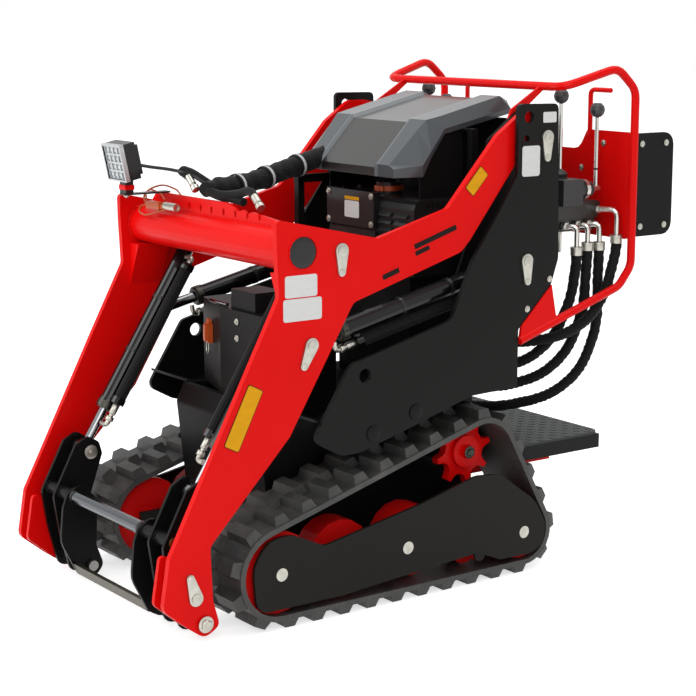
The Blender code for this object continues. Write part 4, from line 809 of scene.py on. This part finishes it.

# %% [markdown]
# ### Hose bundle
# All the hoses to the arm run together in one woven sleeve, strapped at three places. It is a tube drawn
# along a smooth route, from inside the hood to the hose plate, and it replaces the plain solid.

# %% Helpers for hoses and cables
def drawn(name, route, radius, sides=16, step=0.006):
    """A tube along a smooth route through points, as a mesh with closed ends."""
    curve = bpy.data.curves.new(name, "CURVE")
    curve.dimensions = "3D"
    curve.bevel_depth = radius
    curve.bevel_resolution = max(1, sides // 4 - 1)
    curve.use_fill_caps = True
    line = curve.splines.new("BEZIER")
    line.bezier_points.add(len(route) - 1)
    length = sum((Vector(b) - Vector(a)).length for a, b in zip(route, route[1:]))
    line.resolution_u = max(2, round(length / step / (len(route) - 1)))
    for point, spot in zip(line.bezier_points, route):
        point.co = spot
        point.handle_left_type = point.handle_right_type = "AUTO"
    tube = bpy.data.objects.new(name, curve)
    bpy.context.scene.collection.objects.link(tube)
    quiet()
    tube.select_set(True)
    bpy.context.view_layer.objects.active = tube
    bpy.ops.object.convert(target="MESH")
    bpy.ops.object.mode_set(mode="EDIT")
    bpy.ops.mesh.select_all(action="SELECT")
    bpy.ops.mesh.remove_doubles(threshold=0.00005)
    bpy.ops.mesh.normals_make_consistent(inside=False)
    quiet()
    return bpy.context.object


def puckered(tube, depth, pitch):
    """Push the skin in and out in slanting folds, as woven sleeve does over hoses."""
    for vertex in tube.data.vertices:
        spot, way = vertex.co.copy(), vertex.normal.copy()
        fold = math.sin((spot.y + 0.6 * spot.z + 0.5 * spot.x) / pitch * math.tau) + 0.6 * math.sin(
            (spot.x * 1.7 - spot.z * 1.3 + spot.y * 0.35) / pitch * 2.3 * math.tau)
        vertex.co = spot + way * depth * (fold - 1.6) / 1.6
    tube.data.update()


def drawn_together(name, routes, radius, sides, step=0.006, folds=None):
    """Tubes along routes of (x, station, height) as one piece; folds are their depth and pitch."""
    tubes = []
    for route in routes:
        tubes.append(drawn(name, [at(*spot) for spot in route], radius, sides, step))
        if folds:
            puckered(tubes[-1], *folds)
    return joined(tubes, name)


# %% Main bundle
BUNDLE = [  # x, station, height from inside the hood to the hose plate
    (-0.140, 0.420, 0.965), (-0.133, 0.370, 0.957), (-0.125, 0.335, 0.9495), (-0.108, 0.260, 0.936),
    (-0.085, 0.178, 0.9205), (-0.055, 0.080, 0.9105), (-0.034, 0.006, 0.9103), (-0.028, -0.012, 0.9100)]
bundle = drawn("hose_bundle", [at(*spot) for spot in BUNDLE], 0.0252, 28, 0.005)
puckered(bundle, 0.0016, 0.034)
# The sleeve's mouth is drawn tight with a cord
mouth = at(*BUNDLE[-1])
for vertex in bundle.data.vertices:
    share = max(0.0, 1 - (vertex.co - mouth).length / 0.05)
    if vertex.co.y < mouth.y + 0.03:
        vertex.co.xz = vertex.co.xz.lerp(mouth.xz, 0.55 * share)
dressed(bundle, sleeve, None, 60)
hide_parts("main_hose")
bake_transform(bundle)

# %% Straps round the bundle
def strap_pattern(radius, width, thickness):
    """A ring of webbing round the bundle, a little fuller in its middle."""
    bpy.ops.mesh.primitive_cylinder_add(vertices=28, radius=radius, depth=width * 0.5,
                                        end_fill_type="NOTHING")
    strap = started("strap")
    pick(strap, lying, "EDGE")
    bpy.ops.mesh.extrude_edges_move()
    scaled(0.975, 0.975, 2.0)
    finished_by(strap, "SOLIDIFY", thickness=thickness, offset=0)
    return strap


STRAPS = [  # x, station, height of each strap, and the next place that it faces
    ((-0.058, 0.090, 0.9108), (-0.085, 0.178, 0.9205)), ((-0.088, 0.188, 0.9222), (-0.108, 0.260, 0.936)),
    ((-0.117, 0.297, 0.9425), (-0.125, 0.335, 0.9495))]
webbing = film("grey_reflective_webbing", "C9CDCE", "9EA3A5")
for name, radius, width, finish in (("bundle_straps", 0.0266, 0.020, sleeve),
                                    ("strap_reflectors", 0.0276, 0.007, webbing)):
    strap = strap_pattern(radius, width, 0.0014)
    rings = copies(strap, name, [stood(at(*spot), at(*ahead) - at(*spot)) for spot, ahead in STRAPS])
    put_away(strap)
    dressed(rings, finish, None)
    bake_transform(rings)

# %% [markdown]
# ### Cable and fittings at the hose plate
# The lamp's cable runs back to the bundle and ends inside it, so both its ends are held. Where hoses
# leave the sleeve they show zinc swaged ends, each a short turned part with a hexagon.

# %% Lamp cable
cable = drawn("lamp_cable", [at(*spot) for spot in (
    (-0.200, -0.088, 0.957), (-0.185, -0.070, 0.953), (-0.135, -0.030, 0.946), (-0.095, -0.012, 0.938),
    (-0.060, 0.002, 0.924), (-0.040, 0.014, 0.914))], 0.0042, 10, 0.008)
dressed(cable, black_plastic, "lift_arm", 60)

# %% Swaged hose ends: collar, neck and hexagon along +Z
fitting = round_blank("fitting_pattern", 16, 0.0085, 0.026)
pick(fitting, facing_up)
border(0.0028)
push(0.006)
push(0)
scaled(1.75, 1.75, 1)
push(0.011)
pick(fitting, lambda middle, way: abs(way.z) > 0.9)
soften(0.0007, 1)
quiet()
FITTINGS = [  # x, station, height of the foot, then of the tip
    ((-0.100, -0.014, 0.934), (-0.050, -0.012, 0.888)), ((0.128, 0.016, 0.906), (0.168, 0.010, 0.880))]
spots = [stood(at(*foot), at(*tip) - at(*foot), (0, 1, 0)) for foot, tip in FITTINGS]
dressed(copies(fitting, "hose_plate_fittings", spots), zinc, "lift_arm")

# %% Hose tails
tails = drawn_together("hose_tails", (
    ((-0.040, 0.020, 0.910), (-0.070, 0.006, 0.928), (-0.112, -0.010, 0.945), (-0.126, -0.015, 0.944),
     (-0.118, -0.015, 0.940), (-0.099, -0.014, 0.933)),
    ((-0.028, -0.008, 0.908), (0.010, 0.004, 0.900), (0.060, 0.018, 0.905), (0.104, 0.020, 0.914),
     (0.130, 0.016, 0.905)),
    ((-0.030, -0.006, 0.905), (0.000, 0.008, 0.895), (0.040, 0.016, 0.893), (0.080, 0.020, 0.888))),
    0.0098, 14)
dressed(tails, sleeve, "lift_arm", 60)

# %% [markdown]
# ### Plug of the lamp's wiring
# An amber plug hangs on the tube at the far side, with its cable tied in loops.

# %% Amber plug
amber, tree, shader, place = new_finish("amber_nylon")
# Moulded nylon is a little cloudy, in spots of 12 mm
cloud = add_node(tree, "ShaderNodeTexNoise", Vector=place, Scale=80.0, Detail=2.0)
feed(tree, shader, Base_Color=add_node(tree, "ShaderNodeMix", COLOURS, i0=cloud, i6="C2500F", i7="9E3B0B"),
     Roughness=0.36)
bpy.ops.mesh.primitive_cube_add(size=1, scale=(0.058, 0.020, 0.018), location=at(-0.205, -0.040, 0.860))
housing = started("amber_plug")
for end, width, reach in ((1, 0.003, 0.012), (-1, 0.005, -0.014)):
    pick(housing, lambda middle, way: way.x * end > 0.9)
    border(width)
    push(reach, 0)
pick(housing, lambda middle, way: abs(way.x) > 0.9, "EDGE")
soften(0.002, 3)
dressed(housing, amber, "lift_arm")

# %% Plug socket and wires
bpy.ops.mesh.primitive_cylinder_add(vertices=20, radius=0.0095, depth=0.052,
                                    rotation=(0, math.radians(90), 0), location=at(-0.140, -0.0375, 0.862))
socket = started("plug_socket")
pick(socket, lambda middle, way: abs(way.x) > 0.9)
border(0.002)
swell(-0.004)
dressed(socket, zinc, "lift_arm")
wires = drawn_together("plug_wires", (
    ((-0.247, -0.042, 0.862), (-0.262, -0.038, 0.878), (-0.240, -0.020, 0.900), (-0.170, -0.008, 0.899),
     (-0.130, -0.016, 0.888)),
    ((-0.247, -0.044, 0.858), (-0.268, -0.046, 0.850), (-0.240, -0.056, 0.838), (-0.190, -0.052, 0.845),
     (-0.118, -0.034, 0.868)),
    ((-0.245, -0.040, 0.864), (-0.256, -0.034, 0.888), (-0.225, -0.022, 0.888), (-0.180, -0.030, 0.874))),
    0.0022, 8)
dressed(wires, amber, "lift_arm", 60)

# %% [markdown]
# ### Cylinders
# Where the rod leaves a barrel sits a gland with spanner grooves and a wiper lip. The sleeved pipe along
# each barrel ends in a zinc elbow, and thin black bands hold it. These are turned parts, so each starts
# as a cylinder whose rings of faces are pushed in or out.

# %% Patterns for glands and bands
GLAND_SIDES = 32


def gland_pattern(radius, rod):
    outer, lip = radius + 0.0026, 0.0035
    bpy.ops.mesh.primitive_cylinder_add(vertices=GLAND_SIDES, radius=outer, depth=0.014,
                                        location=(0, 0, -0.006))
    gland = started("gland_pattern")
    pick(gland, facing_up)
    border(lip)
    push(0.004)
    border(outer - lip - rod - 0.0006)
    push(-0.003)
    bpy.ops.mesh.delete(type="FACE")
    pick(gland, lambda middle, way: way.z < -0.5)
    bpy.ops.mesh.delete(type="FACE")
    # Every eighth face of the wall becomes a spanner groove
    pick(gland, lambda middle, way: abs(way.z) < 0.2 and middle.z < 0 and int(
        (math.atan2(middle.y, middle.x) + math.pi) / math.tau * GLAND_SIDES) % 8 == 0)
    border(0.0006)
    swell(-0.002)
    quiet()
    return gland


def band_pattern(radius):
    bpy.ops.mesh.primitive_cylinder_add(vertices=32, radius=radius + 0.0009, depth=0.009,
                                        end_fill_type="NOTHING")
    band = started("band_pattern")
    pick(band, everything)
    bpy.ops.mesh.extrude_region_move()
    scaled(0.965, 0.965, 1.0)
    bpy.ops.mesh.select_all(action="SELECT")
    bpy.ops.mesh.normals_make_consistent(inside=False)
    quiet()
    return band


# %% Glands, bands and elbows
# x, the pins' stations and heights, and radii; gland is how far the barrel's end lies from its base pin
LIFT = dict(x=0.2995, base=(0.607, 0.732), eye=(0.016, 0.597), radius=0.0215, rod=0.0125, gland=0.500)
TILT = dict(x=0.250, base=(0.095, 0.793), eye=(-0.222, 0.298), radius=0.0190, rod=0.0100, gland=0.478)
BAND_SPOTS = (0.045, 0.190, 0.330)  # from the base pin, as the gland and the elbows are
ELBOW_SPOTS = (0.463, 0.092)
NUT_REACH, BARE_REACH = 0.043, 0.006  # how far an elbow stands off with a swivel nut, and without
for kind, name in ((LIFT, "lift"), (TILT, "tilt")):
    for side, side_name in SIDES:
        base, eye = at(side * kind["x"], *kind["base"]), at(side * kind["x"], *kind["eye"])
        way = (eye - base).normalized()
        ending = "_%s_%s" % (name, side_name)
        barrel = "%s_barrel_%s" % (name, side_name)
        gland, band = gland_pattern(kind["radius"], kind["rod"]), band_pattern(kind["radius"])
        dressed(copies(gland, "gland" + ending, [stood(base + way * kind["gland"], way)]), cast_iron,
                barrel)
        dressed(copies(band, "bands" + ending, [stood(base + way * spot, way) for spot in BAND_SPOTS]),
                black_plastic, barrel)
        put_away(gland, band)
        hang = Vector((0, -way.z, way.y)) * 0.040 if name == "lift" else Vector((-side * 0.045, 0, 0))
        bends = []
        # The tilt barrel's rear elbow has no swivel nut, so that it swings clear of the cross tube
        rear_reach = NUT_REACH if name == "lift" else BARE_REACH
        for spot, ahead, reach in ((ELBOW_SPOTS[0], 1, NUT_REACH), (ELBOW_SPOTS[1], -1, rear_reach)):
            foot, on = base + way * spot + hang, way * ahead
            if reach == NUT_REACH:
                bends.append(copies(fitting, "bend_foot", [stood(foot, on, hang)]))
            tip = foot + on * reach
            turned = tip + on * 0.010
            bends.append(drawn("bend", [tip - on * 0.004, tip + on * 0.006, turned - hang * 0.12,
                                        turned - hang * 0.52], 0.0062, 12, 0.003))
        dressed(joined(bends, "pipe_elbows" + ending), zinc, barrel, 50)

# %% [markdown]
# ### Pins of the coupler
# The tilt pins show as flanged steel heads on the lug plates, each with a grease nipple in its middle,
# and the polished tube has a dark collar at each hooked plate.

# %% Pin heads and collars
LUG_OUTER, LUG_INNER = 0.2881, 0.2119  # outer and inner face of a pair of lug plates
COUPLER_TUBE = (-0.2925, 0.2127)
head = round_blank("pin_head", 28, 0.0165, 0.004)
pick(head, facing_up)
soften(0.0009)
pick(head, flat_top)
border(0.0105)
push(0.0035)
border(0.0012)
push(0.0025)
quiet()
for side, side_name in SIDES:
    spots = [stood(at(side * x, *TILT["eye"]), (side * turn, 0, 0))
             for x, turn in ((LUG_OUTER, 1), (LUG_INNER, -1))]
    dressed(copies(head, "tilt_pin_heads_" + side_name, spots), zinc, "coupler")
collar = band_pattern(0.0151)
spots = [stood(at(x, *COUPLER_TUBE), (1, 0, 0)) for x in (0.154, -0.154)]
dressed(copies(collar, "tube_collars", spots), black_plastic, "coupler")
put_away(head, collar)

# %% [markdown]
# ### Hose ends at the valves and ports
# Each sleeved hose at the back is swaged to its elbow by a zinc collar with pressed grooves, and meets
# the port below in another.

# %% Swaged collars
bpy.ops.mesh.primitive_cylinder_add(vertices=24, radius=0.0152, depth=0.020)
swage = started("swage_pattern")
pick(swage, top_and_foot)
soften(0.0012)
bpy.ops.mesh.select_all(action="SELECT")
bpy.ops.mesh.subdivide(number_cuts=1)
pick(swage, lambda middle, way: abs(middle.z) < 0.001, "VERT")
scaled(0.955, 0.955, 1)
quiet()
TOPS = [(0.303, 0.812, 0.742), (0.303, 0.847, 0.751), (0.303, 0.885, 0.749), (0.328, 0.917, 0.766)]
FEET = [(0.152, 0.455), (0.102, 0.400), (0.053, 0.345), (0.097, 0.520)]  # x and height
FOOT_STATION = 0.626
for side, side_name, count in ((1, "left", 4), (-1, "right", 2)):
    spots = [stood(at(side * x, y, z), (0, 0, 1), (0, 1, 0)) for x, y, z in TOPS[:count]]
    spots += [stood(at(side * x, FOOT_STATION, z), (0, 1, 0)) for x, z in FEET[:count]]
    dressed(copies(swage, "hose_collars_" + side_name, spots), zinc, "chassis")
put_away(swage)

# %% [markdown]
# ### Raised marks of the chequer plate
# Chequer steel is rolled with rows of short raised lens shapes, turned by a quarter from one to the next.
# One mark is a flattened, stretched sphere with its lower half cut away, copied over the deck.

# %% Chequer marks
bpy.ops.mesh.primitive_uv_sphere_add(segments=10, ring_count=6, radius=1)
mark = started("mark")
bpy.ops.mesh.select_all(action="SELECT")
bpy.ops.mesh.bisect(plane_co=(0, 0, 0.05), plane_no=(0, 0, 1), clear_inner=True, use_fill=True)
bpy.ops.mesh.select_all(action="SELECT")
scaled(0.0115, 0.0028, 0.0013)
quiet()
MARK_ROWS, MARK_COLUMNS, DECK_TOP = 14, 30, 0.2899
spots = []
for row in range(MARK_ROWS):
    for column in range(MARK_COLUMNS):
        place = at(-0.290 + column * 0.020, 0.641 + row * 0.0195, DECK_TOP)
        turn = Matrix.Rotation(math.radians(45 if (row + column) % 2 else -45), 4, "Z")
        spots.append(Matrix.Translation(place) @ turn)
dressed(copies(mark, "chequer_marks", spots), deck_steel, "chassis")
put_away(mark)

# %% [markdown]
# ### Welds
# The cross tube, its ears and the hose plate are welded in, and each weld is a raised bead with ripples.
# A bead is drawn along its seam and its skin is puckered, as the sleeve's was.

# %% Weld beads
def bead(name, routes, radius, finish, body):
    line = drawn_together(name, routes, radius, 8, 0.0025, (radius * 0.3, 0.009))
    return dressed(line, finish, body, 60)


def circle(x, middle, radius, count=16):
    """Places round a circle that faces sideways, from which a bead is drawn."""
    turns = [math.tau * k / count for k in range(count + 1)]
    return [(x, middle[0] + radius * math.cos(t), middle[1] + radius * math.sin(t)) for t in turns]


HOSE_PLATE = (-0.001, 0.0045, 0.8495)  # station, half its thickness, height of its foot
bead("tube_welds", [circle(side * 0.3245, CROSS_TUBE, 0.0455) for side in (1, -1)], 0.0035, red_enamel,
     "lift_arm")
bead("plug_welds", [circle(side * (ARM_FACE + 0.0006), CROSS_TUBE, 0.0358, 20) for side in (1, -1)], 0.0022,
     red_enamel, "lift_arm")
bead("hose_plate_welds", [[(x, HOSE_PLATE[0] + face * HOSE_PLATE[1], HOSE_PLATE[2])
                           for x in (-0.260, -0.130, 0.0, 0.130, 0.260)] for face in (1, -1)],
     0.0032, red_enamel, "lift_arm")
bead("coupler_welds", [circle(side * x, COUPLER_TUBE, 0.0158, 12) for side in (1, -1)
                       for x in (0.1725, 0.2125, 0.2275, 0.2725)],
     0.0024, black_coat, "coupler")

# %% [markdown]
# ### Engine bay
# On the engine's cover a small bare plate and its screws show under the hood, with an amber clip at the
# filter. At the front of the tub, an amber latch and its wire hold the box shut.

# %% Engine plate, screws and clip
COVER_STATION, COVER_MIDDLE, SCREW_STATION = 0.3896, -0.024, 0.3898
for name, finish, height, size in (("engine_plate", white_film, 0.8405, (0.058, 0.040)),
                                   ("engine_plate_header", yellow_film, 0.8665, (0.058, 0.008))):
    plate(name, finish, "chassis", COVER_MIDDLE, (COVER_STATION, height), size, 0.0, (0, -1, 0))
screws = [stood(at(x, SCREW_STATION, z), (0, -1, 0)) for x in (-0.118, 0.053) for z in (0.810, 0.876)]
dressed(copies(small_bolt, "engine_screws", screws), zinc, "chassis")
bpy.ops.mesh.primitive_cylinder_add(vertices=24, radius=0.0312, depth=0.012, location=at(0.030, 0.459, 0.892))
clip = started("filter_clip")
pick(clip, top_and_foot)
border(0.004)
bpy.ops.mesh.delete(type="FACE")
pick(clip, lambda middle, way: abs(way.y) > 0.9)
swell(0.004)
dressed(clip, amber, "chassis")

# %% Latch, its wire and the rod beside it
nose_out = Vector((-0.046, -0.148, 0)).normalized()
nose_way = Vector((0.148, -0.046, 0)).normalized()
nose_spot = at(-0.104, 0.0445, 0.567)
bpy.ops.mesh.primitive_cube_add(size=1, scale=(0.026, 0.046, 0.012), location=(0, 0, 0.006))
latch = started("latch")
pick(latch, facing_up)
border(0.004)
push(0.006)
pick(latch, lambda middle, way: way.y > 0.9 and middle.z < 0.010)
border(0.003)
push(0.010, 1)
pick(latch, top_and_foot, "EDGE")
soften(0.0015)
quiet()
latch.matrix_world = stood(nose_spot + nose_out * 0.0003, nose_out)
dressed(latch, amber, "chassis")
LOOP = [  # how far along the nose, and how far up
    (-0.009, -0.018), (-0.012, -0.036), (-0.004, -0.048), (0.006, -0.046), (0.010, -0.034), (0.008, -0.018)]
wire = drawn("latch_wire", [nose_spot + nose_out * 0.010 + nose_way * a + Vector((0, 0, b)) for a, b in LOOP],
             0.0012, 8, 0.003)
dressed(wire, zinc, "chassis", 60)
rod = drawn("nose_rod", [at(x, y, 0.6445) for x, y in ((-0.100, 0.040), (-0.060, 0.036), (-0.020, 0.036))],
            0.0042, 12, 0.01)
dressed(rod, hard_chrome_in_painted_shade, "chassis", 60)

# %% [markdown]
# ### Sprocket nuts, coupler stops and side plates' discs
# Each drive sprocket is held by one large nut. A yellow-zinc disc stops each end of the coupler's tube, and
# two flat discs welded into each side plate close the holes it was lifted by in the shop.

# %% Sprocket nuts, tube stops and discs
yellow_zinc = plated("yellow_zinc_plate", "B39A55", "8F7A3C", 0.30, 60.0)
SPROCKET_FACE, LUG_FACE = 0.3062, 0.2845
SPROCKET = (0.487, 0.298)
for side, side_name in SIDES:
    out = (side, 0, 0)
    nut = stood(at(side * SPROCKET_FACE, *SPROCKET), out)
    stop = stood(at(side * LUG_FACE, *COUPLER_TUBE), out)
    dressed(copies(plate_bolt, "sprocket_nut_" + side_name, [nut]), cast_iron, "chassis")
    dressed(copies(pin_end, "tube_stop_" + side_name, [stop]), yellow_zinc, "coupler")
disc = round_blank("disc", 36, 0.0185, 0.0024)
pick(disc, facing_up)
soften(0.0008)
quiet()
for side, side_name in SIDES:
    spots = [stood(at(side * SIDE_FACE, *spot), (side, 0, 0)) for spot in ((0.288, 0.430), (0.171, 0.397))]
    dressed(copies(disc, "side_plate_discs_" + side_name, spots), black_coat, "chassis")
put_away(disc)

# %% [markdown]
# ### Rear hoses in their sleeves
# The CAD hoses bend in short straight lengths. On the real machine they hang in one even curve and the
# nylon sleeve bunches into folds, so each is drawn again on the same route and its skin is puckered.

# %% Sleeved rear hoses
PORT_FACE = 0.6153
REAR = [  # sides it is on, its places from the elbow down (x, station, height), x and height of its port
    ((1, -1), [(0.303, 0.812, 0.7477), (0.303, 0.812, 0.726), (0.301, 0.812, 0.700), (0.284, 0.800, 0.600),
               (0.250, 0.755, 0.505), (0.195, 0.690, 0.460)], (0.150, 0.455)),
    ((1, -1), [(0.303, 0.847, 0.7567), (0.303, 0.847, 0.735), (0.301, 0.847, 0.700), (0.288, 0.840, 0.570),
               (0.248, 0.795, 0.460), (0.175, 0.715, 0.408)], (0.100, 0.400)),
    ((1,), [(0.303, 0.885, 0.7547), (0.303, 0.885, 0.733), (0.301, 0.886, 0.690), (0.292, 0.880, 0.520),
            (0.250, 0.835, 0.410), (0.155, 0.740, 0.352)], (0.050, 0.345)),
    ((1,), [(0.328, 0.918, 0.7717), (0.328, 0.918, 0.750), (0.329, 0.906, 0.705), (0.328, 0.868, 0.618),
            (0.318, 0.800, 0.560), (0.265, 0.725, 0.530), (0.165, 0.665, 0.521)], (0.095, 0.520))]
for side, side_name in SIDES:
    for number, (sides, places, (x, height)) in enumerate(REAR, 1):
        if side not in sides:
            continue
        name = "%d_%s" % (number, side_name)
        route = places + [(x, PORT_FACE + 0.022, height), (x, PORT_FACE, height)]
        sleeved = drawn("sleeved_hose_" + name, [at(side * a, b, c) for a, b, c in route], 0.0140, 20, 0.004)
        puckered(sleeved, 0.0014, 0.016)
        dressed(sleeved, sleeve, "chassis", 60)
        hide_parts("rear_hose_" + name)
print("rear hoses drawn")

# %% Patterns put away
put_away(small_bolt, plate_bolt, large_bolt, low_bolt, flat_bolt, pin_end, fitting)

# %% [markdown]
# ## Floor and light
# The photograph is a cut-out on white under broad, soft light. A pale disc carries a soft shadow, and
# where the camera or a reflection sees it, it adds a little light of its own, so that it meets the
# white world without a horizon. Three large area lights stand for the studio's soft boxes.

# %% Floor
def seen_directly(tree):
    """One for what the camera, a reflection or clear glass shows, else zero."""
    path = add_node(tree, "ShaderNodeLightPath")
    return combined(tree, "MAXIMUM", *[path.outputs[name] for name in (
        "Is Camera Ray", "Is Glossy Ray", "Is Transmission Ray")])


quiet()
bpy.ops.mesh.primitive_circle_add(vertices=96, radius=30, fill_type="NGON", location=(0, 0, -0.0005))
floor = bpy.context.object
floor.name = "floor"
paper = bpy.data.materials.new("pale_studio_paper")
paper.use_nodes = True
tree = paper.node_tree
shader = tree.nodes["Principled BSDF"]
feed(tree, shader, Base_Color="E6E6E6", Roughness=0.9)
glow = add_node(tree, "ShaderNodeMath", {"operation": "MULTIPLY"}, i0=seen_directly(tree), i1=0.64)
light = add_node(tree, "ShaderNodeEmission", Strength=glow)
lit = add_node(tree, "ShaderNodeAddShader", i0=shader, i1=light)
feed(tree, tree.nodes["Material Output"], Surface=lit)
floor.data.materials.append(paper)
print("floor:", floor.name)

# %% World and soft boxes
world = bpy.data.worlds.new("white_studio")
bpy.context.scene.world = world
world.use_nodes = True
tree = world.node_tree
strength = add_node(tree, "ShaderNodeMapRange", Value=seen_directly(tree), i3=0.70, i4=1.0)
feed(tree, tree.nodes["Background"], Color=(1, 1, 1, 1), Strength=strength)

SOFT_BOXES = [  # name, place, width, power in watts
    ("key_box", (3.6, -2.6, 3.2), 2.6, 62), ("front_box", (-1.6, -4.2, 2.6), 2.6, 85),
    ("top_box", (0.2, 0.6, 4.4), 3.2, 50)]
for name, place, width, power in SOFT_BOXES:
    bpy.ops.object.light_add(type="AREA", location=place)
    lamp = bpy.context.object
    lamp.name = name
    lamp.data.size = width
    lamp.data.energy = power
    lamp.rotation_euler = (Vector((0, 0, 0.5)) - Vector(place)).to_track_quat("-Z", "Y").to_euler()
bpy.context.scene.view_settings.view_transform = "Standard"
print("lights:", len(SOFT_BOXES))
